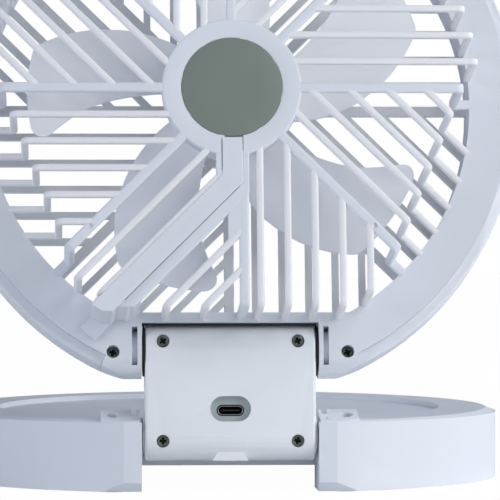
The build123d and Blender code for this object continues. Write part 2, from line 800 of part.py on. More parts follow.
def usb_shell():
    """The metal shell of the charging socket."""
    mouth = AXIS_Y - BLOCK_R + RECESS_DEEP
    z = LOWER_Z + USB_RISE
    end = mouth + USB_LONG
    walls = USB_WALL * 2
    shell = usb_pill(USB_W, USB_H, mouth, end, z)
    return shell - usb_pill(USB_W - walls, USB_H - walls, mouth - CUT, end - USB_WALL, z)


def usb_tongue():
    """The contact tongue inside the socket."""
    mouth = AXIS_Y - BLOCK_R + RECESS_DEEP
    z = LOWER_Z + USB_RISE
    end = mouth + USB_LONG - USB_WALL
    half = TONGUE_W / 2
    return block_of(-half, half, mouth + USB_SEAT, end, z - TONGUE_T / 2, z + TONGUE_T / 2)


def usb_board():
    """The charging board under the socket."""
    start = AXIS_Y - BLOCK_R + RECESS_DEEP + USB_SEAT + SEAT_FIT
    top = LOWER_Z + USB_RISE - USB_H / 2
    half = USB_BOARD_W / 2
    return block_of(-half, half, start, start + USB_BOARD_LONG - USB_SEAT, top - BOARD_T, top)


def hinge_pins(z):
    """A pair of pins, one at each side of the block."""
    def side(sign):
        inner = sign * (BLOCK_HALF - PIN_IN)
        return rod_x(PIN_R, inner, sign * (NOTCH_HALF + PIN_EAR), AXIS_Y, z)
    return both_sides(side)


def hinge_washers(z):
    """A pair of friction washers beside the block."""
    def side(sign):
        end = sign * (BLOCK_HALF + WASHER_T)
        ring = rod_x(WASHER_R, sign * BLOCK_HALF, end, AXIS_Y, z)
        return ring - rod_x(PIN_R + SEAT_FIT, 0, end * 2, AXIS_Y, z)
    return both_sides(side)


def base_outline():
    """Outline of the base from above, with the notch for the block."""
    notch = rect_of(-NOTCH_HALF, NOTCH_HALF, NOTCH_Y - FAR, NOTCH_Y)
    return Circle(DISC_R) - below(-CHORD_REACH) - notch


def on_circle(radius, degrees):
    """A point on a circle about the middle of the base."""
    return radius * math.cos(math.radians(degrees)), radius * math.sin(math.radians(degrees))


def foot_places():
    """Places of the four feet."""
    rear = [(sign * EAR_SCREW_X, AXIS_Y + REAR_FOOT_RISE) for sign in (1, -1)]
    x, y = on_circle(DISC_R - FRONT_FOOT_INSET, FRONT_FOOT_DEG)
    return rear + [(x, y), (-x, y)]


def boss_places():
    """Places of the four cover screws of the base."""
    x, y = on_circle(DISC_R - BOSS_INSET, BOSS_DEG)
    return [(x, y), (x, -y), (-x, y), (-x, -y)]


def post_places():
    """Places of the posts under the control board."""
    x = CONTROL_W / 2 - POST_INSET
    y = CONTROL_LONG / 2 - POST_INSET
    return [(a * x, DIAL_Y + b * y) for a in (1, -1) for b in (1, -1)]


def horn_chamfer():
    """What is cut off the lower rear edge of the base beside the notch."""
    low = FOOT_PROUD - CUT
    run = HORN_CHAMFER + CUT
    corner = Polygon((-CUT, low), (run, low), (-CUT, low + run + CUT), align=None)
    return extrude(Plane.YZ * (Pos(-CHORD_REACH, 0) * corner), FAR / 2, both=True)


def base_lower_shell():
    """Outer wall, floor, ear blocks, feet bosses and board posts."""
    outline = base_outline()
    inner = offset(outline, -WALL)
    shell = slab(outline, FOOT_PROUD, SEAM_Z) - slab(inner, FOOT_PROUD - CUT, FLOOR_Z)
    shell -= slab(inner, FLOOR_TOP, SEAM_Z + CUT)
    shell += slab(ear_face(), FOOT_PROUD, SEAM_Z)
    shell -= slab(rect_of(-NOTCH_HALF, NOTCH_HALF, NOTCH_Y - CUT, NOTCH_Y + WALL * 2), 0, FLOOR_Z)
    for x, y in foot_places():
        shell += Pos(x, y) * slab(Circle(FOOT_R + FOOT_BOSS_T), FOOT_PROUD, FLOOR_Z)
        shell -= Pos(x, y) * slab(Circle(FOOT_R + HEAD_FIT), 0, FOOT_PROUD + FOOT_SINK)
    for x, y in post_places():
        shell += Pos(x, y) * slab(Circle(POST_R), FLOOR_TOP, FLOOR_TOP + POST_H)
    for x, y in boss_places():
        shell -= Pos(x, y) * slab(Circle(SCREW_R + HEAD_FIT), 0, SEAM_Z)
    shell -= horn_chamfer()
    shell -= ear_bores(AXIS_Y, LOWER_Z)
    shell -= ear_grooves(AXIS_Y, LOWER_Z)
    return shell - ear_screw_holes(LOWER_Z)


def sloped(drop, up):
    """Everything above, or below, the sloped top of the base lowered by a drop."""
    side = 1 if up else -1
    place = Pos(0, AXIS_Y, TOP_Z - drop) * Rot(TOP_RISE_DEG, 0, 0)
    return place * Pos(0, 0, side * FAR / 2) * Box(FAR, FAR, FAR)


def top_level(y, drop):
    """Height of the sloped top at a place, lowered by a drop."""
    return TOP_Z - drop + math.tan(math.radians(TOP_RISE_DEG)) * (y - AXIS_Y)


def well_level():
    """Height of the flat seat below the dial."""
    return top_level(DIAL_Y - DIAL_R - DIAL_SIDE_GAP, DISH_DEEP) - WELL_DEEP


def base_knuckles():
    """The tops of the base's ears, round in front and sloped behind."""
    def side(sign):
        return rod_x(KNUCKLE_R, sign * NOTCH_HALF, sign * EAR_HALF, AXIS_Y, LOWER_Z)
    roof = Pos(0, -CHORD_REACH, SEAM_Z) * Rot(EAR_ROOF_DEG, 0, 0)
    roof *= Pos(0, 0, -FAR / 2) * Box(FAR, FAR, FAR)
    return both_sides(side) & block_of(-FAR, FAR, -FAR, FAR, SEAM_Z, FAR) & roof


def base_top_cover():
    """The sloped top with its shoulder, shallow dish and ears."""
    edge = DISC_R - COVER_INSET
    skirt = DISC_R - WALL - COVER_FIT
    deep = top_level(-DISC_R, COVER_PLATE) - CUT
    shoulder = Cone(edge, edge - SHOULDER_RUN, SHOULDER_RISE)
    cover = Pos(0, 0, SEAM_Z + SHOULDER_RISE / 2) * shoulder
    cover += slab(Circle(skirt), deep, SEAM_Z)
    cover -= tube(skirt + CUT, skirt - WALL, deep - CUT, SEAM_Z - COVER_LIP)
    cover -= sloped(0, True)
    cover -= sloped(COVER_PLATE, False) & slab(Circle(skirt - WALL), 0, FAR)
    dish = Circle(DISH_R) - below(NOTCH_Y + DISH_LAND)
    cover -= sloped(DISH_DEEP, True) & slab(dish, 0, FAR)
    cover += base_knuckles()
    outline = base_outline()
    room = slab(offset(outline, -WALL - COVER_FIT), 0, SEAM_Z)
    room += slab(offset(outline, -COVER_INSET), SEAM_Z, FAR)
    cover &= room
    cover -= slab(offset(ear_face(), COVER_FIT), 0, SEAM_Z)
    cover -= knuckle_trim(AXIS_Y, LOWER_Z)
    for x, y in boss_places():
        boss = Pos(x, y) * slab(Circle(BOSS_R), FLOOR_TOP, top_level(y, DISH_DEEP))
        cover += boss - sloped(DISH_DEEP + WALL / 2, True)
        pilot = slab(Circle(SCREW_R + SCREW_FIT), 0, FLOOR_Z + BASE_SCREW_LONG + SCREW_FIT)
        cover -= Pos(x, y) * pilot
    cover -= Pos(0, DIAL_Y) * slab(Circle(DIAL_R + DIAL_SIDE_GAP), well_level(), FAR)
    cover -= Pos(0, DIAL_Y) * slab(Circle(STEM_R + HEAD_FIT), 0, FAR)
    lens_hole = SlotOverall(LENS_W + SEAT_FIT * 2, LENS_LONG + SEAT_FIT * 2)
    cover -= Pos(0, LENS_Y) * slab(lens_hole, 0, FAR)
    cover -= ear_grooves(AXIS_Y, LOWER_Z)
    return cover - ear_screw_holes(LOWER_Z)


def base_feet():
    """Four rubber pads."""
    pad = slab(Circle(FOOT_R), 0, FOOT_PROUD + FOOT_SINK)
    return Part() + [Pos(x, y) * pad for x, y in foot_places()]


def base_cover_screws():
    """Four screws from below into the bosses of the cover."""
    one = Pos(0, 0, FLOOR_Z) * Rot(180, 0, 0) * screw(BASE_SCREW_LONG)
    return Part() + [Pos(x, y) * one for x, y in boss_places()]


def battery_cells():
    """Two flat cells on the floor of the base."""
    cell = slab(RectangleRounded(CELL_W, CELL_LONG, CELL_ROUND), FLOOR_TOP, FLOOR_TOP + CELL_T)
    return both_sides(lambda sign: Pos(sign * CELL_X, CELL_Y) * cell)


def control_board():
    """The board on its posts, under the dial."""
    low = FLOOR_TOP + POST_H
    return Pos(0, DIAL_Y) * slab(Rectangle(CONTROL_W, CONTROL_LONG), low, low + BOARD_T)


def pot_top():
    """Top of the dial's potentiometer."""
    return FLOOR_TOP + POST_H + BOARD_T + POT_H


def dial_pot():
    """The potentiometer on the control board."""
    body = slab(Circle(POT_R), pot_top() - POT_H, pot_top())
    body -= slab(Circle(STEM_R + STEM_FIT), pot_top() - POT_BORE, pot_top() + CUT)
    return Pos(0, DIAL_Y) * body


def dial_shaft():
    """The stem that joins the dial to the potentiometer."""
    low = pot_top() - POT_BORE + STEM_LIFT
    return Pos(0, DIAL_Y) * slab(Circle(STEM_R), low, well_level() + DIAL_GAP + STEM_GRIP)


def dial_knob():
    """The fluted speed dial with its pointer groove."""
    low = well_level() + DIAL_GAP
    high = low + DIAL_H
    knob = slab(Circle(DIAL_R), low, high)
    knob = chamfer(knob.edges().group_by(Axis.Z)[-1], DIAL_EDGE)
    flute = slab(Circle(FLUTE_R), low - CUT, high + CUT)
    reach = DIAL_R + FLUTE_R - FLUTE_DEEP
    step = 360 / DIAL_FLUTES
    knob -= [Rot(0, 0, number * step) * Pos(reach, 0) * flute for number in range(DIAL_FLUTES)]
    mark = rect_of(-MARK_W / 2, MARK_W / 2, DIAL_R - MARK_LONG, DIAL_R + CUT)
    knob -= slab(mark, high - MARK_DEEP, high + CUT)
    knob -= slab(Circle(STEM_R + SEAT_FIT), low - CUT, low + STEM_GRIP + SEAT_FIT)
    return Pos(0, DIAL_Y) * knob


def indicator_lens():
    """The charge lamp's lens in the dish."""
    high = top_level(LENS_Y, DISH_DEEP) + LENS_PROUD
    low = top_level(LENS_Y, COVER_PLATE)
    return Pos(0, LENS_Y) * slab(SlotOverall(LENS_W, LENS_LONG), low, high)


def head_place():
    """Where the flat drawing of the head goes: leaning forward about the upper hinge."""
    up = (0, math.sin(LEAN), math.cos(LEAN))
    back = (0, -math.cos(LEAN), math.sin(LEAN))
    hub = (0, AXIS_Y + HINGE_REACH * up[1], UPPER_Z + HINGE_REACH * up[2])
    return Plane(origin=hub, x_dir=(1, 0, 0), z_dir=back).location


HEAD_NODES = {
    "head_rear_shell": head_rear_shell,
    "head_front_shell": head_front_shell,
    "front_hub_cap": front_hub_cap,
    "rear_hub_cap": rear_hub_cap,
    "cable_cover": cable_cover,
    "motor_lead": motor_lead,
    "head_ear_screws": lambda: ear_screws(0),
    "motor_board": motor_board,
    "motor_stator": motor_stator,
    "motor_coils": motor_coils,
    "bearing_tube": bearing_tube,
    "motor_bearings": motor_bearings,
    "fan_blades": fan_blades,
    "rotor_can": rotor_can,
    "magnet_ring": magnet_ring,
    "motor_shaft": motor_shaft,
    "shaft_clip": shaft_clip,
}

STANDING_NODES = {
    "base_lower_shell": base_lower_shell,
    "base_top_cover": base_top_cover,
    "base_feet": base_feet,
    "base_cover_screws": base_cover_screws,
    "base_ear_screws": lambda: ear_screws(LOWER_Z),
    "battery_cells": battery_cells,
    "control_board": control_board,
    "dial_pot": dial_pot,
    "dial_shaft": dial_shaft,
    "dial_knob": dial_knob,
    "indicator_lens": indicator_lens,
    "block_front_shell": block_front_shell,
    "block_rear_cover": block_rear_cover,
    "block_cover_screws": block_cover_screws,
    "usb_shell": usb_shell,
    "usb_tongue": usb_tongue,
    "usb_board": usb_board,
    "upper_hinge_pins": lambda: hinge_pins(UPPER_Z),
    "lower_hinge_pins": lambda: hinge_pins(LOWER_Z),
    "upper_hinge_washers": lambda: hinge_washers(UPPER_Z),
    "lower_hinge_washers": lambda: hinge_washers(LOWER_Z),
}


def main():
    """Build every node, centre the part on its footprint and write one file per node."""
    place = head_place()
    nodes = {name: place * make() for name, make in HEAD_NODES.items()}
    nodes.update({name: make() for name, make in STANDING_NODES.items()})
    boxes = [shape.bounding_box() for shape in nodes.values()]
    rear = min(box.min.Y for box in boxes)
    front = max(box.max.Y for box in boxes)
    centre = Pos(0, -(rear + front) / 2, 0)
    os.makedirs("parts", exist_ok=True)
    for name, shape in nodes.items():
        export_step(centre * shape, f"parts/{name}.step")
    hub = (centre * place).position
    axis_y = AXIS_Y + centre.position.Y
    print(f"hinge axes y {axis_y:.4f}, z {LOWER_Z:.4f} and {UPPER_Z:.4f}")
    print(f"hub y {hub.Y:.4f} z {hub.Z:.4f}, dial y {DIAL_Y + centre.position.Y:.4f}")


main()
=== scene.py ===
"""Looks of a rechargeable folding desk fan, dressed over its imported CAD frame."""
import json
import logging
import math
from dataclasses import dataclass, field
from enum import Enum
from typing import Any, Sequence

import bmesh
import bpy
from mathutils import Matrix, Vector


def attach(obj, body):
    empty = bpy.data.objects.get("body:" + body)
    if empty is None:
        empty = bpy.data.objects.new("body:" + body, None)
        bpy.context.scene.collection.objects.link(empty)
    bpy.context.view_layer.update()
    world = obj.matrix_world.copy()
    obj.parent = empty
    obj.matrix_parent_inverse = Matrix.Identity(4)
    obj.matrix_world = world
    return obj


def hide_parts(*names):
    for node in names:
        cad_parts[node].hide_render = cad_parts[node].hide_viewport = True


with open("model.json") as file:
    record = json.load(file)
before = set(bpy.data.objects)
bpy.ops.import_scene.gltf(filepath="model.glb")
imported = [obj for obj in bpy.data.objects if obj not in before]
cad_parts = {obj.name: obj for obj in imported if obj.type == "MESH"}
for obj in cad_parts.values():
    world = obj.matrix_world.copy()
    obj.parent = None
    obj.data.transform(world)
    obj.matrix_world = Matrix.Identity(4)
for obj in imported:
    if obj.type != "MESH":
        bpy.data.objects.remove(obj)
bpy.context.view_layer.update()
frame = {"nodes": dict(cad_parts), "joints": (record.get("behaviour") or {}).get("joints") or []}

MM = 0.001
LOG = logging.getLogger("desk_fan")
Spot = tuple[float, float]
Point = tuple[float, float, float]

# Corners nearer than this are one corner: in a CAD mesh, and after a cut.
WELD_CAD_MM = 0.002
WELD_CUT_MM = 0.015
# Faces that meet at less than this are one flat face.
FLAT_DEG = 1.0
# Edges sharper than these stay sharp in the shading: most pieces, swept bars, the cut rib.
CREASE_DEG = 32.0
BAR_CREASE_DEG = 40.0
RIB_CREASE_DEG = 25.0
# How far a cutter stands out past what it cuts, in millimetres.
OVERRUN = 1.0
# Steps of a quarter round in a turned profile, of a bar's bend and of its section's corner.
ROUND_STEPS = 6
BEND_STEPS = 5
CORNER_STEPS = 3
# A face whose normal has more than this share along a direction faces that way.
FACING = 0.5


class Body(Enum):
    """The CAD bodies that pieces ride on."""

    BASE = "base"
    BLOCK = "hinge_block"
    HEAD = "fan_head"
    ROTOR = "rotor"
    DIAL = "speed_dial"


def linear(hex_code: str) -> tuple[float, float, float, float]:
    """Turn an sRGB hex colour into linear RGBA.

    Args:
        hex_code: Colour such as "e6e9ef".

    Returns:
        Linear red, green, blue and an alpha of one.
    """
    shares = [int(hex_code[i:i + 2], 16) / 255 for i in (0, 2, 4)]
    # The curve that the sRGB standard gives.
    parts = [s / 12.92 if s <= 0.04045 else ((s + 0.055) / 1.055) ** 2.4 for s in shares]
    return parts[0], parts[1], parts[2], 1.0


def add_node(tree: bpy.types.NodeTree, kind: str, inputs: dict[Any, Any] | None = None,
             **settings: Any) -> bpy.types.Node:
    """Add a node, set its properties, and fill or link its inputs.

    Args:
        tree: Shader or geometry tree.
        kind: Type name of the node.
        inputs: Input name or number to a value, or to the socket that feeds it.
        **settings: Properties of the node itself.

    Returns:
        The new node.
    """
    node = tree.nodes.new(kind)
    for name, value in settings.items():
        setattr(node, name, value)
    for key, value in (inputs or {}).items():
        if isinstance(value, bpy.types.NodeSocket):
            tree.links.new(value, node.inputs[key])
        else:
            node.inputs[key].default_value = value
    return node


@dataclass(frozen=True)
class Finish:
    """A moulded, metal or rubber surface.

    The colour varies a little over broad patches, the roughness over smaller ones,
    and a fine grain gives a moulded skin its soft break-up of light.
    """

    name: str
    colour: str
    roughness: float = 0.5
    metallic: float = 0.0
    ior: float = 1.5
    patch_mm: float = 40.0
    patch_share: float = 0.03
    patch_detail: float = 2.0
    grain_mm: float = 0.9
    grain_depth_mm: float = 0.002
    grain_detail: float = 3.0
    grain_low: float = 0.3
    grain_high: float = 0.7
    grain_strength: float = 0.6
    rough_share: float = 0.08
    coat: float = 0.0

    def build(self) -> bpy.types.Material:
        """Make the material once.

        Returns:
            The material, or the one of that name where it exists already.
        """
        known = bpy.data.materials.get(self.name)
        if known:
            return known
        material = bpy.data.materials.new(self.name)
        material.use_nodes = True
        tree = material.node_tree
        tree.nodes.clear()
        where = add_node(tree, "ShaderNodeTexCoord").outputs["Object"]
        patches = add_node(tree, "ShaderNodeTexNoise", {
            "Vector": where, "Scale": 1 / (self.patch_mm * MM), "Detail": self.patch_detail})
        red, green, blue, _ = linear(self.colour)
        low, high = 1 - self.patch_share, 1 + self.patch_share
        colours = add_node(tree, "ShaderNodeMix", {
            "Factor": patches.outputs["Fac"],
            6: (red * low, green * low, blue * low, 1), 7: (red * high, green * high, blue * high, 1),
        }, data_type="RGBA")
        grain = add_node(tree, "ShaderNodeTexNoise", {
            "Vector": where, "Scale": 1 / (self.grain_mm * MM), "Detail": self.grain_detail})
        rough = add_node(tree, "ShaderNodeMapRange", {
            "Value": grain.outputs["Fac"], "From Min": self.grain_low, "From Max": self.grain_high,
            "To Min": self.roughness * (1 - self.rough_share),
            "To Max": min(1.0, self.roughness * (1 + self.rough_share))})
        bump = add_node(tree, "ShaderNodeBump", {
            "Height": grain.outputs["Fac"], "Strength": self.grain_strength,
            "Distance": self.grain_depth_mm * MM})
        shader = add_node(tree, "ShaderNodeBsdfPrincipled", {
            "Base Color": colours.outputs[2], "Roughness": rough.outputs["Result"],
            "Normal": bump.outputs["Normal"], "Metallic": self.metallic, "IOR": self.ior,
            "Coat Weight": self.coat})
        add_node(tree, "ShaderNodeOutputMaterial", {"Surface": shader.outputs["BSDF"]})
        return material


class Finishes:
    """The finishes of this fan, named for what they are."""

    # Injection moulded ABS with a fine spark-eroded texture: soft, broad highlights, cool white.
    WHITE = Finish("white_abs_matte", "e3e7ee", 0.48)
    # The block's two halves, with a little more sheen, in painted light: a paler copy of the white ABS for
    # the block's brighter lit face.
    BLOCK = Finish("white_abs_pale", "eff2f5", 0.4)
    # The same ABS from a smoother mould, on the blades, the front cap and the dial, in painted light: a
    # brighter white that stands for light coming through the blades.
    SATIN_PAINTED_LIGHT = Finish("white_abs_satin", "f3f5f9", 0.36, grain_depth_mm=0.001)
    # The raised slats in painted light: a brighter copy of the white ABS for the highlights along their round
    # tops.
    SLAT_PAINTED_LIGHT = Finish("white_abs_thin", "f1f1f4", 0.42)
    # Painted shade on the front grille's bars, seen from behind: a greyer copy of the white ABS with less
    # blue in it.
    GRILLE_SHADE = Finish("white_abs_neutral", "dfe0e2", 0.45)
    # A separate cap of grey green ABS, satin.
    SAGE = Finish("sage_abs_satin", "7f8981", 0.42)
    # Blackened steel screws: dark, with a dull sheen on the rim of the head.
    SCREW = Finish("blackened_steel", "7d857a", 0.34, metallic=0.9)
    # Painted shade in the driver's recess: darker and duller than the head.
    RECESS_SHADE = Finish("blackened_recess", "15170f", 0.6, metallic=0.4)
    # Painted shade inside the charging socket.
    SOCKET_SHADE = Finish("dark_plating", "121311", 0.6, metallic=0.3)
    # Ground steel of pins, shaft and can: neutral, with short streaky highlights.
    STEEL = Finish("ground_steel", "b4b6ba", 0.3, metallic=1.0)
    # Dull steel sheet of the motor's core.
    CORE = Finish("lamination_steel", "77787b", 0.5, metallic=1.0)
    # Sintered magnet, almost black.
    MAGNET = Finish("sintered_magnet", "2c2c2e", 0.6, metallic=0.2)
    # Enamelled copper wire: warm, with bright narrow highlights.
    COPPER = Finish("enamelled_copper", "a5592f", 0.28, metallic=1.0)
    # Turned brass: yellow, a little duller than the copper.
    BRASS = Finish("turned_brass", "c2a35a", 0.32, metallic=1.0)
    # Solder mask over glass fibre board: deep green with a soft gloss.
    BOARD = Finish("green_solder_mask", "1e5a3a", 0.35)
    # Dull foil pouch of the cells.
    FOIL = Finish("battery_foil", "b9bcc0", 0.4, metallic=0.9)
    # Painted shade on the notch's roof over the block: dull near black, so that the gap reads as one black
    # line.
    NOTCH_SHADE = Finish("dark_lining", "14160f", 0.8)
    # Plain black nylon: dark, with a faint broad sheen.
    BLACK = Finish("black_nylon", "0e0f10", 0.55)
    # Soft pale rubber, dull, close to the white of the base.
    RUBBER = Finish("pale_rubber", "c4c8d0", 0.8)
    # Darker cool grey on the faces inside the charging recess, plain and dull.
    WELL = Finish("socket_well_abs", "b6bfc0", 0.6)
    # Soft black sheath of the lead.
    SHEATH = Finish("lead_sheath", "26272a", 0.6)
    # Frosted lens over the charge lamp: pale, with a clear coat's small bright glint.
    LENS = Finish("frosted_lens", "eef1f4", 0.3, coat=0.3)


def dress(obj: bpy.types.Object, *finishes: Finish) -> None:
    """Give an object these finishes and no others; its faces start in the first."""
    obj.data.materials.clear()
    for finish in finishes:
        obj.data.materials.append(finish.build())


def keep_mesh(obj: bpy.types.Object) -> bpy.types.Object:
    """Turn an object's evaluated shape into its plain mesh and drop its modifiers.

    Args:
        obj: Object with modifiers.

    Returns:
        The same object.
    """
    graph = bpy.context.evaluated_depsgraph_get()
    mesh = bpy.data.meshes.new_from_object(obj.evaluated_get(graph))
    mesh.name = obj.name
    obj.modifiers.clear()
    obj.data = mesh
    return obj


def place_piece(name: str, mesh: bpy.types.Mesh) -> bpy.types.Object:
    """Link a mesh as an object at the origin.

    Args:
        name: Name of the object.
        mesh: Its mesh, in the row frame.

    Returns:
        The new object.
    """
    obj = bpy.data.objects.new(name, mesh)
    bpy.context.scene.collection.objects.link(obj)
    return obj


def smooth(mesh: bpy.types.Mesh, degrees: float = CREASE_DEG) -> None:
    """Shade a mesh smooth except where its faces meet at more than an angle."""
    mesh.polygons.foreach_set("use_smooth", [True] * len(mesh.polygons))
    mesh.set_sharp_from_angle(angle=math.radians(degrees))


def settle(piece: bpy.types.Object, body: Body, slot: str, *nodes: str) -> None:
    """Let a finished piece ride on a body and stand for CAD nodes.

    Args:
        piece: Finished object at the origin.
        body: Body that it moves with.
        slot: The record's material slot; not used.
        *nodes: CAD nodes that it stands for.
    """
    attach(piece, body.value)
    if nodes:
        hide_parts(*nodes)
    LOG.info("%s on %s, %d faces", piece.name, body.value, len(piece.data.polygons))


def joint(name: str) -> dict[str, Any]:
    """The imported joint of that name."""
    return next(j for j in frame["joints"] if j["name"] == name)


def head_matrix() -> Matrix:
    """Place the head's flat drawing, with x right, y up and z to the back, in millimetres.

    Returns:
        The matrix from the drawing to the row frame.
    """
    spin = joint("rotor_spin")
    back = Vector(spin["axis"]).normalized()
    right = Vector((1, 0, 0))
    up = back.cross(right)
    turn = Matrix((right, up, back)).transposed().to_4x4()
    return Matrix.Translation(Vector(spin["pos_m"])) @ turn @ Matrix.Scale(MM, 4)


def weld(mesh: bpy.types.Mesh, reach_mm: float, join: bool) -> None:
    """Merge a mesh's near vertices, and join its flat faces where asked.

    Args:
        mesh: Mesh to change.
        reach_mm: Vertices nearer than this become one.
        join: Whether faces that lie in one plane are joined too.
    """
    bm = bmesh.new()
    bm.from_mesh(mesh)
    bmesh.ops.remove_doubles(bm, verts=bm.verts, dist=reach_mm * MM)
    if join:
        bmesh.ops.dissolve_limit(bm, angle_limit=math.radians(FLAT_DEG), verts=bm.verts, edges=bm.edges)
    bm.to_mesh(mesh)
    bm.free()


def carve(piece: bpy.types.Object, *cutters: bpy.types.Object) -> None:
    """Cut closed shapes out of a piece; the cutters go.

    Args:
        piece: Object to cut.
        *cutters: What is cut away, in this order.
    """
    for cutter in cutters:
        cut = piece.modifiers.new("carve", "BOOLEAN")
        cut.operation = "DIFFERENCE"
        cut.solver = "EXACT"
        cut.object = cutter
    keep_mesh(piece)
    for cutter in cutters:
        bpy.data.objects.remove(cutter)


def merged_copy(node: str, name: str, *cutters: bpy.types.Object) -> bpy.types.Object:
    """Copy a CAD node, with its vertices merged and its flat faces joined.

    Args:
        node: CAD node to copy.
        name: Name of the new object.
        *cutters: Closed shapes to cut away; they go.

    Returns:
        The new object.
    """
    obj = place_piece(name, frame["nodes"][node].data.copy())
    weld(obj.data, WELD_CAD_MM, not cutters)
    if cutters:
        carve(obj, *cutters)
        weld(obj.data, WELD_CUT_MM, True)
    return obj


def rounded(obj: bpy.types.Object, width_mm: float, finish: Finish, segments: int = 3,
            degrees: float = 38.0) -> bpy.types.Object:
    """Round an object's sharp edges, keep its flats flat, and dress it.

    Args:
        obj: Object with a welded mesh.
        width_mm: Size of the rounding.
        finish: Its finish.
        segments: Faces across the rounding.
        degrees: Edges sharper than this are rounded.

    Returns:
        The same object.
    """
    smooth(obj.data, degrees)
    bevel = obj.modifiers.new("round", "BEVEL")
    bevel.width = width_mm * MM
    bevel.segments = segments
    bevel.limit_method = "ANGLE"
    bevel.angle_limit = math.radians(degrees)
    bevel.use_clamp_overlap = True
    bevel.harden_normals = True
    keep_mesh(obj)
    dress(obj, finish)
    return obj


def islands(node: str) -> list[list[Vector]]:
    """Find the separate solids of a CAD node, in the order of their first vertices.

    Args:
        node: CAD node to look at.

    Returns:
        The vertex places of each solid.
    """
    bm = bmesh.new()
    bm.from_mesh(frame["nodes"][node].data)
    bmesh.ops.remove_doubles(bm, verts=bm.verts, dist=WELD_CAD_MM * MM)
    bm.verts.index_update()
    seen: set[int] = set()
    found = []
    for first in bm.verts:
        if first.index in seen:
            continue
        seen.add(first.index)
        queue = [first]
        group = []
        while queue:
            vert = queue.pop()
            group.append(vert.co.copy())
            for edge in vert.link_edges:
                near = edge.other_vert(vert)
                if near.index not in seen:
                    seen.add(near.index)
                    queue.append(near)
        found.append(group)
    bm.free()
    return found


def circle(radius: float, sides: int, x: float = 0.0, y: float = 0.0) -> list[Spot]:
    """Corners of a regular outline about a middle."""
    angles = [i * math.tau / sides for i in range(sides)]
    return [(x + radius * math.cos(a), y + radius * math.sin(a)) for a in angles]


def quarter(x: float, z: float, radius: float, first: int = 0) -> list[Spot]:
    """Points of a quarter round about a middle, from its outer side up to its top."""
    angles = [i * math.pi / 2 / ROUND_STEPS for i in range(first, ROUND_STEPS + 1)]
    return [(x + radius * math.cos(a), z + radius * math.sin(a)) for a in angles]


def one_way(outline: Sequence[Spot], with_clock: bool) -> list[Spot]:
    """Let an outline run with the clock or against it.

    Args:
        outline: Corners in either direction.
        with_clock: The direction that is wanted.

    Returns:
        The corners, reversed where they ran the other way.
    """
    nexts = [*outline[1:], outline[0]]
    area = sum(x * v - u * y for (x, y), (u, v) in zip(outline, nexts))
    return list(outline) if (area < 0) == with_clock else list(reversed(outline))


def listed_piece(name: str, corners: Sequence[Point], faces: Sequence[Sequence[int]],
                 place: Matrix) -> bpy.types.Object:
    """Make a piece from listed corners and faces, so that their order is the same in every run.

    Args:
        name: Name of the piece.
        corners: Places of its corners.
        faces: Corner numbers of each face, against the clock as seen from outside.
        place: From the corners' own frame to the row frame.

    Returns:
        The new object.
    """
    mesh = bpy.data.meshes.new(name)
    mesh.from_pydata(corners, [], faces)
    mesh.transform(place)
    return place_piece(name, mesh)


def prism(name: str, outline: Sequence[Spot], low: float, high: float, place: Matrix) -> bpy.types.Object:
    """Make a closed prism over a flat outline.

    Args:
        name: Name of the piece.
        outline: Its corners, in either direction.
        low: Height of its foot.
        high: Height of its top.
        place: From the outline's frame to the row frame.

    Returns:
        The new object.
    """
    ring = one_way(outline, False)
    count = len(ring)
    corners = [(x, y, z) for z in (low, high) for x, y in ring]
    foot, top = list(reversed(range(count))), list(range(count, 2 * count))
    sides = [(i, (i + 1) % count, (i + 1) % count + count, i + count) for i in range(count)]
    return listed_piece(name, corners, [foot, top, *sides], place)


def lathe(name: str, profile: Sequence[Spot], place: Matrix, steps: int = 96) -> bpy.types.Object:
    """Turn a profile about Z.

    Args:
        name: Name of the piece.
        profile: Points of (radius, height), in either direction.
        place: From the profile's frame to the row frame.
        steps: Faces around the turn.

    Returns:
        The new object.
    """
    corners: list[Point] = []
    rows: list[list[int]] = []
    for radius, height in one_way(profile, True):
        spots = circle(radius, steps) if radius > 0 else [(0.0, 0.0)]
        rows.append([len(corners) + i % len(spots) for i in range(steps + 1)])
        corners += [(x, y, height) for x, y in spots]
    faces = []
    for upper, lower in zip(rows, rows[1:]):
        for i in range(steps):
            # A point on the axis is named twice, which leaves a triangle.
            faces.append(list(dict.fromkeys((upper[i], lower[i], lower[i + 1], upper[i + 1]))))
    piece = listed_piece(name, corners, faces, place)
    smooth(piece.data)
    return piece


def open_tree(name: str, takes: dict[str, str]) -> bpy.types.NodeTree:
    """Start a Geometry Nodes tree with its sockets.

    Args:
        name: Name of the tree.
        takes: Each input's name and kind.

    Returns:
        The tree, still without nodes.
    """
    tree = bpy.data.node_groups.new(name, "GeometryNodeTree")
    for label, kind in takes.items():
        tree.interface.new_socket(label, in_out="INPUT", socket_type="NodeSocket" + kind)
    tree.interface.new_socket("Shape", in_out="OUTPUT", socket_type="NodeSocketGeometry")
    return tree


def close_tree(tree: bpy.types.NodeTree, shape: bpy.types.NodeSocket, finish: bpy.types.NodeSocket) -> None:
    """End a tree: its shape as real geometry, in its finish.

    Args:
        tree: Tree to end.
        shape: Socket with the shape so far.
        finish: Socket with the material.
    """
    real = add_node(tree, "GeometryNodeRealizeInstances", {"Geometry": shape})
    dressed = add_node(tree, "GeometryNodeSetMaterial",
                       {"Geometry": real.outputs["Geometry"], "Material": finish})
    add_node(tree, "NodeGroupOutput", {"Shape": dressed.outputs["Geometry"]})


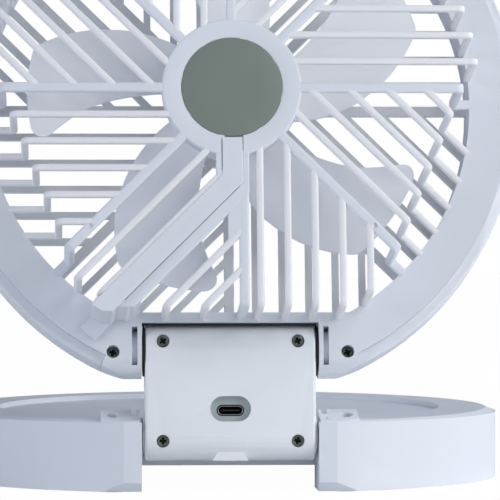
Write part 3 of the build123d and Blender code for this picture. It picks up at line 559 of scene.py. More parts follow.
def sweep_tree() -> bpy.types.NodeTree:
    """Geometry Nodes that sweep a rounded bar along every edge path of a mesh.

    Returns:
        The tree, made once.
    """
    known = bpy.data.node_groups.get("rounded_bar_sweep")
    if known:
        return known
    tree = open_tree("rounded_bar_sweep", {
        "Paths": "Geometry", "Bar Width": "Float", "Bar Depth": "Float", "Section Round": "Float",
        "Bend Radius": "Float", "Finish": "Material"})
    start = add_node(tree, "NodeGroupInput").outputs
    paths = add_node(tree, "GeometryNodeMeshToCurve", {"Mesh": start["Paths"]})
    bent = add_node(tree, "GeometryNodeFilletCurve", {
        "Curve": paths.outputs["Curve"], "Count": BEND_STEPS, "Radius": start["Bend Radius"],
        "Limit Radius": True}, mode="POLY")
    square = add_node(tree, "GeometryNodeCurvePrimitiveQuadrilateral",
                      {"Width": start["Bar Width"], "Height": start["Bar Depth"]}, mode="RECTANGLE")
    section = add_node(tree, "GeometryNodeFilletCurve", {
        "Curve": square.outputs["Curve"], "Count": CORNER_STEPS, "Radius": start["Section Round"],
        "Limit Radius": True}, mode="POLY")
    swept = add_node(tree, "GeometryNodeCurveToMesh", {
        "Curve": bent.outputs["Curve"], "Profile Curve": section.outputs["Curve"], "Fill Caps": True})
    close_tree(tree, swept.outputs["Mesh"], start["Finish"])
    return tree


def copies_tree() -> bpy.types.NodeTree:
    """Geometry Nodes that put a copy of an object at every point, turned as the point says.

    Returns:
        The tree, made once.
    """
    known = bpy.data.node_groups.get("placed_copies")
    if known:
        return known
    tree = open_tree("placed_copies", {"Points": "Geometry", "Copy Of": "Object", "Finish": "Material"})
    start = add_node(tree, "NodeGroupInput").outputs
    one = add_node(tree, "GeometryNodeObjectInfo", {"Object": start["Copy Of"], "As Instance": True})
    turn = add_node(tree, "GeometryNodeInputNamedAttribute", {"Name": "turn"}, data_type="FLOAT_VECTOR")
    spread = add_node(tree, "GeometryNodeInstanceOnPoints", {
        "Points": start["Points"], "Instance": one.outputs["Geometry"],
        "Rotation": turn.outputs["Attribute"]})
    close_tree(tree, spread.outputs["Instances"], start["Finish"])
    return tree


def run_tree(obj: bpy.types.Object, tree: bpy.types.NodeTree, values: dict[str, Any]) -> bpy.types.Object:
    """Run a Geometry Nodes tree on an object and keep what it gives as a plain mesh.

    Args:
        obj: Object with the points or paths.
        tree: Tree to run.
        values: Its named inputs.

    Returns:
        The same object.
    """
    modifier = obj.modifiers.new("nodes", "NODES")
    modifier.node_group = tree
    for item in tree.interface.items_tree:
        if item.in_out == "INPUT" and item.name in values:
            modifier[item.identifier] = values[item.name]
    return keep_mesh(obj)


def placed_copies(name: str, source: bpy.types.Object, places: Sequence[Matrix],
                  finish: Finish) -> bpy.types.Object:
    """Copies of one object at several places, as one plain mesh; the source goes.

    Args:
        name: Name of the piece.
        source: Object at the origin, in metres.
        places: Where each copy stands and how it is turned.
        finish: Finish of the copies.

    Returns:
        The new object.
    """
    mesh = bpy.data.meshes.new(name)
    mesh.from_pydata([place.translation for place in places], [], [])
    turns = mesh.attributes.new("turn", "FLOAT_VECTOR", "POINT")
    turns.data.foreach_set("vector", [angle for place in places for angle in place.to_euler()])
    obj = run_tree(place_piece(name, mesh), copies_tree(), {"Copy Of": source, "Finish": finish.build()})
    dress(obj, finish)
    bpy.data.objects.remove(source)
    smooth(obj.data)
    return obj


@dataclass(frozen=True)
class ScrewKind:
    """A pan head screw with a cross recess, in millimetres; its turns are in radians."""

    head_r: float = 2.1
    head_t: float = 1.6
    dome_share: float = 0.35
    dome_steps: int = 8
    shank_r: float = 1.15
    point: float = 0.5
    cross_long: float = 2.5
    cross_wide: float = 0.95
    cross_deep: float = 1.1
    rim: float = 0.1
    first_turn: float = 0.4
    next_turn: float = 0.9
    steps: int = 32

    def source(self, long: float) -> bpy.types.Object:
        """Make one screw with its head's top at the origin and its shank down -Z.

        Args:
            long: Length from the head's top to the point.

        Returns:
            The screw, in metres.
        """
        dome = [(self.head_r * math.sin(a), self.head_r * self.dome_share * (math.cos(a) - 1))
                for a in (i * math.pi / 2 / self.dome_steps for i in range(self.dome_steps + 1))]
        profile = [*dome, (self.head_r, -self.head_t), (self.shank_r, -self.head_t),
                   (self.shank_r, self.point - long), (self.shank_r - self.point, -long), (0.0, -long)]
        screw = lathe("screw_source", profile, Matrix.Scale(MM, 4), self.steps)
        half, wide = self.cross_long / 2, self.cross_wide / 2
        cross = [(half, -wide), (half, wide), (wide, wide), (wide, half), (-wide, half), (-wide, wide),
                 (-half, wide), (-half, -wide), (-wide, -wide), (-wide, -half), (wide, -half), (wide, -wide)]
        carve(screw, prism("cross_cutter", cross, -self.cross_deep, OVERRUN, Matrix.Scale(MM, 4)))
        return screw

    def stand_for(self, node: str, axis: Vector, body: Body) -> None:
        """Replace a CAD node of screws by dressed ones.

        Args:
            node: CAD node with one solid per screw.
            axis: The way that the heads face.
            body: Body that they ride on.
        """
        places = []
        long = 0.0
        facing = axis.to_track_quat("Z", "Y").to_matrix().to_4x4()
        for number, group in enumerate(islands(node)):
            heights = [co.dot(axis) for co in group]
            middle = sum(group, Vector()) / len(group)
            top = middle + axis * (max(heights) - middle.dot(axis))
            turn = Matrix.Rotation(self.first_turn + self.next_turn * number, 4, "Z")
            places.append(Matrix.Translation(top) @ facing @ turn)
            long = (max(heights) - min(heights)) / MM
        screws = placed_copies(node + "_crossed", self.source(long), places, Finishes.SCREW)
        dress(screws, Finishes.SCREW, Finishes.RECESS_SHADE)
        backs = [place.inverted() for place in places]
        # Painted shade: faces sunk in the cross recess take the dark finish.
        for polygon in screws.data.polygons:
            spot = min((back @ polygon.center for back in backs), key=lambda near: near.length) / MM
            sunk = -self.cross_deep - self.rim < spot.z < -2 * self.rim
            polygon.material_index = int(sunk and math.hypot(spot.x, spot.y) < self.cross_long / 2 + self.rim)
        settle(screws, body, "dark_screw_steel", node)


@dataclass(frozen=True)
class BarSection:
    """Section of a swept bar, in millimetres."""

    width: float
    depth: float
    corner: float
    bend: float


def swept_bars(name: str, paths: Sequence[Sequence[Point]], section: BarSection, finish: Finish,
               place: Matrix) -> bpy.types.Object:
    """Sweep rounded bars along paths and keep them as one plain mesh.

    Args:
        name: Name of the piece.
        paths: Corner points of each bar's middle line, in the drawing's millimetres.
        section: Size of the bar.
        finish: Its finish.
        place: From the drawing to the row frame.

    Returns:
        The new object.
    """
    verts: list[Point] = []
    edges: list[tuple[int, int]] = []
    for path in paths:
        first = len(verts)
        verts.extend(path)
        edges.extend((i, i + 1) for i in range(first, len(verts) - 1))
    mesh = bpy.data.meshes.new(name)
    mesh.from_pydata(verts, edges, [])
    values = {"Bar Width": section.width, "Bar Depth": section.depth, "Section Round": section.corner,
              "Bend Radius": section.bend, "Finish": finish.build()}
    obj = run_tree(place_piece(name, mesh), sweep_tree(), values)
    obj.data.transform(place)
    smooth(obj.data, BAR_CREASE_DEG)
    return obj


@dataclass
class Head:
    """Fan head: ring, both grilles, hub and cable cover, in the millimetres of its flat drawing."""

    place: Matrix = field(default_factory=head_matrix)
    # The ring and its opening, and the reach of what cuts them free of the grille.
    ring_back: float = 9.0
    wall: float = 2.2
    open_r: float = 85.8
    open_drop: float = 74.9
    open_steps: int = 180
    cut_low: float = -60.0
    cut_high: float = 90.0
    cut_top: float = 120.0
    cut_half: float = 150.0
    edge: float = 0.3
    # Faces that would lie in one plane are set apart by shares of this.
    shave: float = 0.04
    # The gap between the ring and the front half's rim.
    seam_r: float = 99.8
    seam_gap: float = 0.2
    seam_near: float = 0.05
    seam_share: float = 0.9
    # The notch over the block.
    notch_half: float = 31.2
    notch_low: float = 84.0
    # The raised grille.
    raised_back: float = 36.0
    bar_w: float = 2.4
    bar_deep: float = 2.6
    bar_round: float = 0.75
    bar_bend: float = 1.6
    pitch: float = 9.5
    rows: int = 5
    spokes: int = 8
    spoke_w: float = 3.5
    spoke_round: float = 0.8
    spoke_lap: float = 0.3
    leg: float = 2.6
    narrow_reach: float = 75.0
    wide_r: float = 87.0
    wide_drop: float = 77.7
    narrow: tuple[int, ...] = (4, 7)
    down_spoke: int = 6
    down_x: float = 3.85
    level_slope: float = 1e-6
    dimple_r: float = 0.9
    dimple_deep: float = 0.6
    dimple_inset: float = 5.5
    dimple_sides: int = 24
    dimpled: tuple[int, ...] = (5, 7)
    # The hub ring and the cap in it.
    hub_r: float = 24.3
    hub_skirt: float = 7.0
    hub_round: float = 0.7
    hub_chamfer: float = 0.2
    hub_steps: int = 192
    cap_r: float = 17.55
    cap_sink: float = 1.2
    cap_t: float = 1.5
    cap_gap: float = 0.02
    cap_wall: float = 0.4
    cap_ease: float = 0.12
    cap_round: float = 0.45
    cap_middle_share: float = 0.5
    seat_round: float = 0.3
    seat_ease: float = 0.09
    # The rib, the strip that covers the lead in it, and the web beside the down spoke.
    rib_w: float = 11.5
    rib_bend: float = 35.2
    rib_lap: float = 1.0
    rib_edge: float = 0.45
    wall_edge: float = 0.4
    route_end_r: float = 89.6
    bend_drop: float = 32.5
    cover_w: float = 7.0
    cover_t: float = 1.5
    cover_proud: float = 0.3
    cover_gap: float = 0.3
    groove: float = 0.3
    channel_deep: float = 1.1
    channel_high: float = 5.0
    channel_lap: float = 0.5
    tongue: float = 6.5
    tongue_edge: float = 0.5
    web: tuple[Spot, ...] = (
        (5.0, -37.4), (-1.7, -44.1), (-1.7, -55.4), (3.85, -49.85), (5.0, -49.85))
    # The front grille: the lower spoke's two sides, and the far side of the one that goes.
    low_spoke: Spot = (-1.6, 1.9)
    old_spoke: float = 5.75
    old_spoke_rise: Spot = (-0.2, 0.4)
    low_spoke_lap: float = 1.0
    low_spoke_foot: float = 0.3
    front_hub_r: float = 21.0
    front_low: float = -4.6
    front_high: float = -2.0
    front_margin: float = 0.5

    def drawn(self, name: str, outline: Sequence[Spot], low: float, high: float) -> bpy.types.Object:
        """A prism over an outline of the head's drawing."""
        return prism(name, outline, low, high, self.place)

    def seat(self, piece: bpy.types.Object, node: str) -> None:
        """Let a white piece of the head stand for a CAD node."""
        settle(piece, Body.HEAD, "white_plastic", node)

    def turned(self, degrees: float, x: float, y: float, z: float) -> Point:
        """A point turned about the hub."""
        c, s = math.cos(math.radians(degrees)), math.sin(math.radians(degrees))
        return x * c - y * s, x * s + y * c, z

    def chord_reach(self, degrees: float, row: float, drop: float) -> float:
        """How far a bar at an angle runs until it is a drop below the hub.

        Args:
            degrees: The bar's angle.
            row: Its distance from the line through the hub.
            drop: How far below the hub it ends.

        Returns:
            The run from the hub's level, without end where the bar doesn't run down.
        """
        slope = math.sin(math.radians(degrees))
        if slope > -self.level_slope:
            return math.inf
        return (-drop - row * math.cos(math.radians(degrees))) / slope

    def slat_paths(self) -> list[list[Point]]:
        """Middle lines of the raised slats, with their legs and feet.

        Returns:
            The corner points of each slat.
        """
        step = 360 / self.spokes
        half = math.radians(step / 2)
        high = self.raised_back - self.bar_deep / 2 - self.shave
        low = self.ring_back - self.wall / 2
        paths = []
        for sector in range(self.spokes):
            angle = sector * step
            shift = self.down_x * math.sqrt(2) if sector + 1 == self.down_spoke else 0
            for number in range(1, self.rows + 1):
                row = number * self.pitch
                start = row - shift
                if sector in self.narrow:
                    end = (self.narrow_reach - row * math.sin(half)) / math.cos(half) - self.leg / 2
                    foot = math.sqrt((self.open_r + self.wall / 2) ** 2 - row ** 2)
                    points = [(start, high), (end, high), (end, low), (foot, low)]
                else:
                    end = math.sqrt(self.wide_r ** 2 - row ** 2)
                    end = min(end, self.chord_reach(angle, row, self.wide_drop)) - self.leg / 2
                    points = [(start, high), (end, high), (end, low)]
                paths.append([self.turned(angle, x, row, z) for x, z in points])
        return paths

    def spoke_paths(self) -> list[list[Point]]:
        """Middle lines of the spokes.

        Returns:
            The corner points of each spoke.
        """
        step = 360 / self.spokes
        corner = self.narrow_reach / math.cos(math.pi / self.spokes)
        high = self.raised_back - self.bar_deep / 2 - self.shave / 2
        low = self.ring_back - self.wall / 2
        paths = []
        for number in range(self.spokes):
            down = number == self.down_spoke
            side = self.down_x if down else 0
            end = (self.wide_drop if down else corner) - self.leg / 2
            points = [(self.hub_r - self.spoke_lap, high), (end, high), (end, low)]
            if not down:
                points.append((self.open_r + self.wall / 2, low))
            paths.append([self.turned(number * step, x, side, z) for x, z in points])
        return paths

    def route_side(self, half: float, drop: float, grow: float) -> tuple[list[Spot], bool]:
        """One edge of the cable route, from its bend to where it meets the ring.

        Args:
            half: Distance from the middle line, below zero on the left.
            drop: How far below the hub the route bends.
            grow: How far outside the rib's end this edge ends.

        Returns:
            The bend and end points, and whether the end lies on the round part.
        """
        mitre = half * math.tan(math.pi / 8)
        x, y = half, -drop - mitre
        radius, floor = self.route_end_r + grow, -self.wide_drop - grow
        flat = y - floor
        total = x + y
        round_run = (total + math.sqrt(total * total - 2 * (x * x + y * y - radius * radius))) / 2
        run = min(flat, round_run)
        return [(x, y), (x - run, y - run)], round_run < flat

    def route_outline(self, width: float, drop: float, grow: float, start: float) -> list[Spot]:
        """Outline of a strip of the cable route, from a start below the hub to its end on the ring.

        Args:
            width: Width of the strip.
            drop: How far below the hub it bends.
            grow: How far outside the rib's end it ends.
            start: How far below the hub it starts.

        Returns:
            Its corners.
        """
        right, right_round = self.route_side(width / 2, drop, grow)
        left, left_round = self.route_side(-width / 2, drop, grow)
        radius, floor = self.route_end_r + grow, -self.wide_drop - grow
        corner = [] if left_round == right_round else [(-math.sqrt(radius * radius - floor * floor), floor)]
        return [(width / 2, -start), (-width / 2, -start), *left, *corner, *reversed(right)]

    def end_band(self, width: float, drop: float, inner: float, outer: float) -> list[Spot]:
        """Outline of the wall that closes a strip of the cable route at its end.

        Args:
            width: Width of the strip.
            drop: How far below the hub it bends.
            inner: Where the wall starts, from the rib's end outwards.
            outer: Where it ends.

        Returns:
            Its corners.
        """
        near, far = (self.route_outline(width, drop, grow, 0)[3:-1] for grow in (inner, outer))
        return near + far[::-1]

    def opening(self, grow: float) -> list[Spot]:
        """Outline of the round opening with its flat foot.

        Args:
            grow: How far outside the opening it runs.

        Returns:
            Its corners.
        """
        radius = self.open_r + grow
        edge = math.asin((self.open_drop + grow) / radius)
        first, last = -edge, math.pi + edge
        angles = [first + (last - first) * i / self.open_steps for i in range(self.open_steps + 1)]
        return [(radius * math.cos(a), radius * math.sin(a)) for a in angles]

    def build(self) -> None:
        """Build and dress every visible piece of the head."""
        self.ring()
        self.grille()
        self.hub()
        self.rib()
        self.cover()
        self.front()
        ScrewKind().stand_for("head_ear_screws", Vector(joint("rotor_spin")["axis"]).normalized(), Body.HEAD)

    def ring(self) -> None:
        """The flat rear ring with its ears, without the raised grille."""
        side = self.cut_half
        square = [(-side, -side), (side, -side), (side, side), (-side, side)]
        # A plane just over the ring's face leaves the ear screws' holes open.
        level = self.ring_back + self.shave / 4
        ring = merged_copy(
            "head_rear_shell", "rear_ring",
            self.drawn("opening_cutter", self.opening(self.shave), self.cut_low, self.cut_high),
            self.drawn("level_cutter", square, level, self.cut_top))
        back = self.place.inverted()
        for vert in ring.data.vertices:
            spot = back @ vert.co
            radius = math.hypot(spot.x, spot.y)
            if abs(radius - self.seam_r) < self.seam_near:
                share = (self.seam_r + self.seam_gap * self.seam_share) / radius
                vert.co = self.place @ Vector((spot.x * share, spot.y * share, spot.z))
        self.paint_inner_shade(rounded(ring, self.edge, Finishes.WHITE))
        self.seat(ring, "head_rear_shell")

    def front(self) -> None:
        """The front half with its grille, whose lower spoke stands under the hub's middle."""
        left, right = self.low_spoke
        top, foot = -self.front_hub_r, -self.open_drop
        near, far = self.old_spoke_rise
        gone = self.drawn("spoke_cutter", [
            (right, top + near), (self.old_spoke, top + far),
            (self.old_spoke, foot + self.shave), (right, foot + self.shave),
        ], self.front_low - OVERRUN, self.front_high + OVERRUN)
        shell = merged_copy("head_front_shell", "front_shell_and_rim", gone)
        high, low = top + self.low_spoke_lap, foot - self.low_spoke_foot
        bar = self.drawn("front_low_spoke", [(left, high), (right, high), (right, low), (left, low)],
                         self.front_low + self.shave, self.front_high - self.shave)
        for piece in (shell, bar):
            self.paint_inner_shade(rounded(piece, self.edge, Finishes.WHITE))
            self.seat(piece, "head_front_shell")

    def paint_inner_shade(self, shell: bpy.types.Object) -> None:
        """Paint shade on the notch's roof and on the front grille's bars: near black on the roof, a greyer
        white on the bars.

        Args:
            shell: Rounded half of the head.
        """
        dress(shell, Finishes.WHITE, Finishes.NOTCH_SHADE, Finishes.GRILLE_SHADE)
        back = self.place.inverted()
        for polygon in shell.data.polygons:
            spot = back @ polygon.center
            facing = (back.to_3x3() @ polygon.normal).normalized()
            roof = abs(spot.x) < self.notch_half and -self.notch_low < spot.y < -self.open_drop
            # Painted shade: the notch's roof, facing down over the block, takes the near black.
            if roof and facing.y < -FACING and spot.z < self.ring_back - self.wall:
                polygon.material_index = 1
            # Painted shade: the front grille's bars, facing the back, take the greyer white.
            elif spot.z < 0 and facing.z > FACING:
                corners = [back @ shell.data.vertices[index].co for index in polygon.vertices]
                reach = max(math.hypot(corner.x, corner.y) for corner in corners)
                if reach < self.open_r + self.front_margin:
                    polygon.material_index = 2

    def grille(self) -> None:
        """The raised slats and spokes."""
        section = BarSection(self.bar_w, self.bar_deep, self.bar_round, self.bar_bend)
        slats = swept_bars("rear_slats", self.slat_paths(), section, Finishes.SLAT_PAINTED_LIGHT, self.place)
        self.seat(slats, "head_rear_shell")
        section = BarSection(self.spoke_w, self.bar_deep, self.spoke_round, self.bar_bend)
        spokes = swept_bars("rear_spokes", self.spoke_paths(), section, Finishes.WHITE, self.place)
        for number in self.dimpled:
            x, y, _ = self.turned(number * 360 / self.spokes, self.narrow_reach - self.dimple_inset, 0, 0)
            carve(spokes, self.drawn("dimple_cutter", circle(self.dimple_r, self.dimple_sides, x, y),
                                     self.raised_back - self.dimple_deep, self.raised_back + OVERRUN))
        self.seat(spokes, "head_rear_shell")

    def channel(self) -> bpy.types.Object:
        """Cutter of the channel that the lead's cover lies in, a hair wider than the cover.

        Returns:
            The cutter.
        """
        strip = self.route_outline(self.cover_w + 2 * self.groove, self.bend_drop, self.cover_t,
                                   self.cap_r - self.channel_lap)
        return self.drawn("channel_cutter", strip, self.raised_back - self.channel_deep,
                          self.raised_back + self.channel_high)

    def rib(self) -> None:
        """The wide rib under the lead's cover, with its wall down to the ring and its web to the spoke."""
        top, under = self.raised_back, self.raised_back - self.bar_deep
        strip = self.route_outline(self.rib_w, self.rib_bend, 0, self.hub_r - self.rib_lap)
        plate = rounded(self.drawn("cable_rib", strip, under, top), self.rib_edge, Finishes.WHITE)
        carve(plate, self.channel())
        smooth(plate.data, RIB_CREASE_DEG)
        self.seat(plate, "head_rear_shell")
        web = self.drawn("cable_rib_web", self.web, under + self.shave, top - 2 * self.shave)
        self.seat(rounded(web, self.wall_edge, Finishes.WHITE), "head_rear_shell")
        band = self.end_band(self.rib_w, self.rib_bend, -self.leg, -self.shave)
        wall = self.drawn("cable_rib_wall", band, self.ring_back - self.wall / 2, top - self.shave)
        self.seat(rounded(wall, self.wall_edge, Finishes.WHITE), "head_rear_shell")

    def hub(self) -> None:
        """The raised hub ring and the cap in it."""
        top = self.raised_back
        skirt, seat = top - self.hub_skirt, top - self.cap_sink
        inner = self.cap_r + self.cap_gap
        profile = [
            (self.hub_r - self.wall, skirt), (self.hub_r - self.hub_chamfer, skirt),
            (self.hub_r, skirt + self.hub_chamfer),
            *quarter(self.hub_r - self.hub_round, top - self.hub_round, self.hub_round),
            (inner + self.seat_round, top), (inner + self.seat_ease, top - self.seat_ease),
            (inner, top - self.seat_round), (inner, seat), (0.0, seat)]
        ring = lathe("rear_hub_ring", profile, self.place, self.hub_steps)
        carve(ring, self.channel())
        dress(ring, Finishes.WHITE)
        smooth(ring.data)
        self.seat(ring, "head_rear_shell")
        high = seat + self.cap_t
        profile = [
            (self.cap_r, seat), (self.cap_r, high - self.cap_wall),
            (self.cap_r - self.cap_ease, high - self.cap_ease), (self.cap_r - self.cap_round, high),
            (self.cap_r * self.cap_middle_share, high), (0.0, high)]
        cap = lathe("sage_hub_cap", profile, self.place, self.hub_steps)
        dress(cap, Finishes.SAGE)
        settle(cap, Body.HEAD, "sage_plastic", "rear_hub_cap")

    def cover(self) -> None:
        """The strip over the lead, sunk in its channel, with its flap and tongue."""
        top = self.raised_back + self.cover_proud
        strip = self.route_outline(self.cover_w, self.bend_drop, self.cover_t, self.cap_r + self.cover_gap)
        plate = self.drawn("cable_strip", strip, top - self.cover_t, top)
        self.seat(rounded(plate, self.edge, Finishes.WHITE), "cable_cover")
        band = self.end_band(self.cover_w, self.bend_drop, 0, self.cover_t - self.shave)
        flap = self.drawn("cable_flap", band, self.ring_back, top - self.shave)
        self.seat(rounded(flap, self.wall_edge, Finishes.WHITE), "cable_cover")
        outline = self.route_outline(self.cover_w, self.bend_drop, 0, 0)
        left, right = outline[3], outline[-2]
        far = max(-left[0] - left[1], -right[0] - right[1]) / 2 + self.tongue * math.sqrt(0.5)
        ends = [(x - (far + (x + y) / 2), y - (far + (x + y) / 2)) for x, y in (right, left)]
        tongue = self.drawn("cable_tongue", outline[3:-1] + ends, self.ring_back,
                            self.ring_back + self.cover_t)
        self.seat(rounded(tongue, self.tongue_edge, Finishes.WHITE), "cable_cover")


@dataclass
class Rotor:
    """The five blades on their hub, in millimetres and degrees."""

    edge: float = 0.6
    blades: int = 5
    start: float = 22.0
    tail: float = 3.4
    tail_from: float = 46.0
    tail_run: float = 22.0
    tail_deg: float = 27.0
    axis_r: float = 1.0

    def swept(self, spot: Vector) -> Vector:
        """Draw a point of a blade's trailing tip out along its turn.

        Args:
            spot: Point in the head's drawing.

        Returns:
            Where it goes, in the same drawing.
        """
        step = math.tau / self.blades
        radius, angle = math.hypot(spot.x, spot.y), math.atan2(spot.y, spot.x)
        local = (angle - math.radians(self.start) + step / 4) % step - step / 4
        out = min(max((radius - self.tail_from) / self.tail_run, 0.0), 1.0)
        back = min(max(local / math.radians(self.tail_deg), 0.0), 1.0)
        turn = self.tail / max(radius, self.axis_r) * out * out * (3 - 2 * out) * back
        return Vector((radius * math.cos(angle + turn), radius * math.sin(angle + turn), spot.z))

    def build(self) -> None:
        """Draw out the blades' tips, round their edges and dress them."""
        blades = merged_copy("fan_blades", "blades")
        place = head_matrix()
        back = place.inverted()
        for vert in blades.data.vertices:
            vert.co = place @ self.swept(back @ vert.co)
        settle(rounded(blades, self.edge, Finishes.SATIN_PAINTED_LIGHT), Body.ROTOR, "white_plastic", "fan_blades")


@dataclass
class Block:
    """The hinge block with the charging socket, in millimetres."""

    edge: float = 0.55
    fine_edge: float = 0.1
    well_half: float = 7.3
    well_height: float = 4.6
    well_z: float = 29.6
    well_top: float = 0.9
    mouth: float = 0.3
    washer_r: float = 8.9
    washer_rim_share: float = 0.9

    def build(self) -> None:
        """Build and dress both halves, the socket and the screws."""
        # Painted light: both halves of the block take the paler white.
        rear = rounded(merged_copy("block_rear_cover", "rear_half"), self.edge, Finishes.BLOCK)
        dress(rear, Finishes.BLOCK, Finishes.WELL)
        # Faces inside the charging recess take the darker grey.
        face = min(vert.co.y for vert in rear.data.vertices) + self.well_top * MM
        for polygon in rear.data.polygons:
            x, y, z = polygon.center / MM
            if abs(x) < self.well_half and abs(z - self.well_z) < self.well_height and y * MM > face:
                polygon.material_index = 1
        settle(rear, Body.BLOCK, "white_plastic", "block_rear_cover")
        front = rounded(merged_copy("block_front_shell", "front_half"), self.edge, Finishes.BLOCK)
        settle(front, Body.BLOCK, "white_plastic", "block_front_shell")
        shell = rounded(merged_copy("usb_shell", "socket_shell"), self.fine_edge, Finishes.STEEL)
        dress(shell, Finishes.STEEL, Finishes.SOCKET_SHADE)
        mouth = min(vert.co.y for vert in shell.data.vertices) + self.mouth * MM
        # Painted shade: the socket's faces deeper than its mouth take the dark finish.
        for polygon in shell.data.polygons:
            polygon.material_index = int(polygon.center.y > mouth)
        settle(shell, Body.BLOCK, "plain_steel", "usb_shell")
        ScrewKind().stand_for("block_cover_screws", Vector((0, -1, 0)), Body.BLOCK)
        self.washers()

    def washers(self) -> None:
        """The upper washers, as wide as the block's round top so that they close the gap beside it."""
        pin = joint("head_tilt")["pos_m"]
        washers = merged_copy("upper_hinge_washers", "upper_washers")
        reach = max(math.hypot(v.co.y - pin[1], v.co.z - pin[2]) for v in washers.data.vertices)
        for vert in washers.data.vertices:
            out = math.hypot(vert.co.y - pin[1], vert.co.z - pin[2])
            if out > reach * self.washer_rim_share:
                share = self.washer_r * MM / out
                vert.co.y = pin[1] + (vert.co.y - pin[1]) * share
                vert.co.z = pin[2] + (vert.co.z - pin[2]) * share
        rounded(washers, self.fine_edge, Finishes.BLACK)
        settle(washers, Body.BLOCK, "black_plastic", "upper_hinge_washers")


@dataclass
class Base:
    """The round battery base, in millimetres and degrees."""

    edge: float = 0.8
    foot_edge: float = 0.3
    crease: float = 16.0
    flat_y: float = -87.4
    flat_half: float = 60.0
    flat_high: float = 60.0

    def build(self) -> None:
        """Build and dress the shells, feet and screws."""
        half, near = self.flat_half, self.flat_y
        flat = prism("flat_cutter", [(-half, near - half), (half, near - half), (half, near), (-half, near)],
                     -OVERRUN, self.flat_high, Matrix.Scale(MM, 4))
        lower = merged_copy("base_lower_shell", "lower_shell", flat)
        rounded(lower, self.edge, Finishes.WHITE, degrees=self.crease)
        settle(lower, Body.BASE, "white_plastic", "base_lower_shell")
        top = rounded(merged_copy("base_top_cover", "top_cover"), self.edge, Finishes.WHITE)
        settle(top, Body.BASE, "white_plastic", "base_top_cover")
        feet = rounded(merged_copy("base_feet", "foot_pads"), self.foot_edge, Finishes.RUBBER)
        settle(feet, Body.BASE, "rubber_pad", "base_feet")
        ScrewKind().stand_for("base_ear_screws", Vector((0, 0, 1)), Body.BASE)
        ScrewKind().stand_for("base_cover_screws", Vector((0, 0, -1)), Body.BASE)


@dataclass
class Dial:
    """The fluted speed dial, in millimetres."""

    radius: float = 17.0
    bore: float = 4.0
    top_round: float = 1.0
    foot_chamfer: float = 0.3
    rim: float = 3.0
    dish_rim: float = 4.0
    dish_deep: float = 0.35
    flutes: int = 18
    flute_r: float = 1.6
    flute_deep: float = 0.6
    flute_sides: int = 20

    def build(self) -> None:
        """Turn the knob, cut its flutes and dress it."""
        heights = [vert.co.z for vert in frame["nodes"]["dial_knob"].data.vertices]
        low, tall = min(heights), (max(heights) - min(heights)) / MM
        pin = joint("dial_turn")["pos_m"]
        profile = [
            (self.bore, 0.0), (self.radius - self.foot_chamfer, 0.0), (self.radius, self.foot_chamfer),
            (self.radius, tall - self.top_round),
            *quarter(self.radius - self.top_round, tall - self.top_round, self.top_round, 1),
            (self.radius - self.rim, tall), (self.radius - self.dish_rim, tall - self.dish_deep),
            (0.0, tall - self.dish_deep)]
        knob = lathe("speed_knob", profile, Matrix.Translation((pin[0], pin[1], low)) @ Matrix.Scale(MM, 4))
        cutter = prism("flute_source", circle(self.flute_r, self.flute_sides), -OVERRUN, tall + OVERRUN,
                       Matrix.Scale(MM, 4))
        reach = (self.radius + self.flute_r - self.flute_deep) * MM
        places = [Matrix.Translation((x, y, low)) for x, y in circle(reach, self.flutes, pin[0], pin[1])]
        carve(knob, placed_copies("flute_cutters", cutter, places, Finishes.SATIN_PAINTED_LIGHT))
        dress(knob, Finishes.SATIN_PAINTED_LIGHT)
        smooth(knob.data)
        settle(knob, Body.DIAL, "white_plastic", "dial_knob")


PLAIN_NODES: dict[str, Finish] = {
    "front_hub_cap": Finishes.SATIN_PAINTED_LIGHT,
    "motor_lead": Finishes.SHEATH,
    "motor_board": Finishes.BOARD,
    "motor_stator": Finishes.CORE,
    "motor_coils": Finishes.COPPER,
    "bearing_tube": Finishes.BRASS,
    "motor_bearings": Finishes.STEEL,
    "rotor_can": Finishes.STEEL,
    "magnet_ring": Finishes.MAGNET,
    "motor_shaft": Finishes.STEEL,
    "shaft_clip": Finishes.STEEL,
    "battery_cells": Finishes.FOIL,
    "control_board": Finishes.BOARD,
    "dial_pot": Finishes.BLACK,
    "dial_shaft": Finishes.BLACK,
    "indicator_lens": Finishes.LENS,
    "usb_tongue": Finishes.BLACK,
    "usb_board": Finishes.BOARD,
    "upper_hinge_pins": Finishes.STEEL,
    "lower_hinge_pins": Finishes.STEEL,
    "lower_hinge_washers": Finishes.SATIN_PAINTED_LIGHT,
}


def dress_plain_nodes() -> None:
    """Give every CAD node that stays as it is its finish."""
    for name, finish in PLAIN_NODES.items():
        dress(frame["nodes"][name], finish)
        LOG.info("%s keeps its CAD shape in %s", name, finish.name)


@dataclass(frozen=True)
class Lamp:
    """A square soft lamp, in metres and watts."""

    name: str
    place: Point
    watts: float
    colour: str = "f2f6ff"
    size: float = 0.9

    def build(self, target: Point) -> None:
        """Light the lamp.

        Args:
            target: Point that it faces.
        """
        data = bpy.data.lights.new(self.name, "AREA")
        data.shape = "SQUARE"
        data.size = self.size
        data.energy = self.watts
        data.color = linear(self.colour)[:3]
        obj = bpy.data.objects.new(self.name, data)
        obj.location = self.place
        aim = Vector(target) - Vector(self.place)
        obj.rotation_euler = aim.to_track_quat("-Z", "Y").to_euler()
        bpy.context.scene.collection.objects.link(obj)


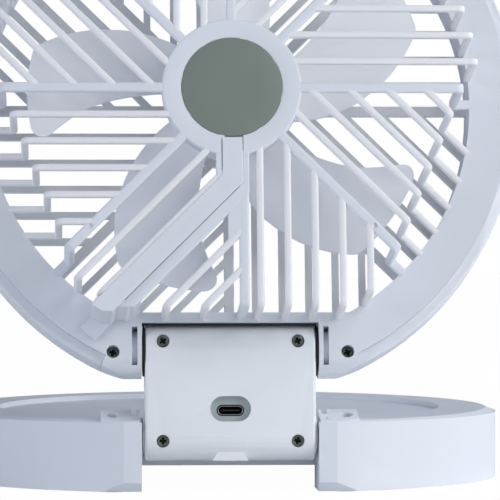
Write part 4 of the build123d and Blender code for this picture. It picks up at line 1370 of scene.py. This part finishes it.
@dataclass
class Stage:
    """Floor, light and camera, in metres and degrees."""

    distance: float = 1.300
    camera_x: float = -0.060
    camera_z: float = 0.092
    rear_y: float = -0.0871
    yaw: float = 2.940
    pitch: float = -0.297
    focal_px: float = 3714.0
    image_px: float = 500.0
    sensor_mm: float = 36.0
    clip_end: float = 20.0
    target: Point = (0, -0.05, 0.1)
    sky: str = "dfe8f7"
    sky_strength: float = 0.235
    floor_half: float = 6.0
    floor_cells: int = 8
    paper: str = "f4f5f7"
    glow_share: float = 0.985
    lamps: tuple[Lamp, ...] = (
        Lamp("key_right", (1.6, -0.9, 0.45), 14.2, "fffdf8"),
        Lamp("fill_left", (-1.6, -0.9, 0.45), 11.3),
        Lamp("upper_right", (1.2, -1.2, 1.3), 9.5),
        Lamp("front_right", (1.5, 1.0, 1.1), 16.0),
    )

    def camera(self) -> None:
        """The camera, behind the fan and a little to its left."""
        data = bpy.data.cameras.new("camera")
        data.sensor_width = self.sensor_mm
        data.sensor_fit = "HORIZONTAL"
        data.lens = self.focal_px * data.sensor_width / self.image_px
        data.clip_end = self.clip_end
        obj = bpy.data.objects.new("camera", data)
        obj.location = (self.camera_x, self.rear_y - self.distance, self.camera_z)
        obj.rotation_euler = (math.radians(90 + self.pitch), 0, math.radians(-self.yaw))
        bpy.context.scene.collection.objects.link(obj)
        bpy.context.scene.camera = obj

    def world(self) -> None:
        """White where the camera looks, a cool soft light elsewhere."""
        world = bpy.data.worlds.new("studio")
        world.use_nodes = True
        bpy.context.scene.world = world
        tree = world.node_tree
        tree.nodes.clear()
        path = add_node(tree, "ShaderNodeLightPath").outputs
        seen = add_node(tree, "ShaderNodeMath", {0: path["Is Camera Ray"], 1: path["Is Transmission Ray"]},
                        operation="MAXIMUM")
        soft = add_node(tree, "ShaderNodeBackground",
                        {"Color": linear(self.sky), "Strength": self.sky_strength})
        white = add_node(tree, "ShaderNodeBackground", {"Color": (1, 1, 1, 1), "Strength": 1.0})
        mixed = add_node(tree, "ShaderNodeMixShader", {
            0: seen.outputs["Value"], 1: soft.outputs["Background"], 2: white.outputs["Background"]})
        add_node(tree, "ShaderNodeOutputWorld", {"Surface": mixed.outputs["Shader"]})

    def floor(self) -> None:
        """A plain white floor that keeps a faint shadow."""
        bm = bmesh.new()
        bmesh.ops.create_grid(bm, x_segments=self.floor_cells, y_segments=self.floor_cells,
                              size=self.floor_half)
        mesh = bpy.data.meshes.new("floor")
        bm.to_mesh(mesh)
        bm.free()
        floor = place_piece("floor", mesh)
        material = bpy.data.materials.new("white_paper_floor")
        material.use_nodes = True
        tree = material.node_tree
        tree.nodes.clear()
        # Matt paper, which glows towards the camera alone so that it melts into the white behind it.
        path = add_node(tree, "ShaderNodeLightPath").outputs
        paper = add_node(tree, "ShaderNodeBsdfDiffuse", {"Color": linear(self.paper)})
        glow = add_node(tree, "ShaderNodeEmission", {"Color": (1, 1, 1, 1), "Strength": 1.0})
        share = add_node(tree, "ShaderNodeMath", {0: path["Is Camera Ray"], 1: self.glow_share},
                         operation="MULTIPLY")
        mixed = add_node(tree, "ShaderNodeMixShader", {
            0: share.outputs["Value"], 1: paper.outputs["BSDF"], 2: glow.outputs["Emission"]})
        add_node(tree, "ShaderNodeOutputMaterial", {"Surface": mixed.outputs["Shader"]})
        mesh.materials.append(material)

    def build(self) -> None:
        """Set up the whole stage."""
        self.camera()
        self.world()
        self.floor()
        for lamp in self.lamps:
            lamp.build(self.target)
        bpy.context.scene.view_settings.view_transform = "Standard"


def main() -> None:
    """Build the fan's pieces in order."""
    logging.basicConfig(level=logging.INFO, format="%(message)s")
    Stage().build()
    dress_plain_nodes()
    for assembly in (Head(), Rotor(), Block(), Base(), Dial()):
        assembly.build()


if __name__ == "__main__":
    main()
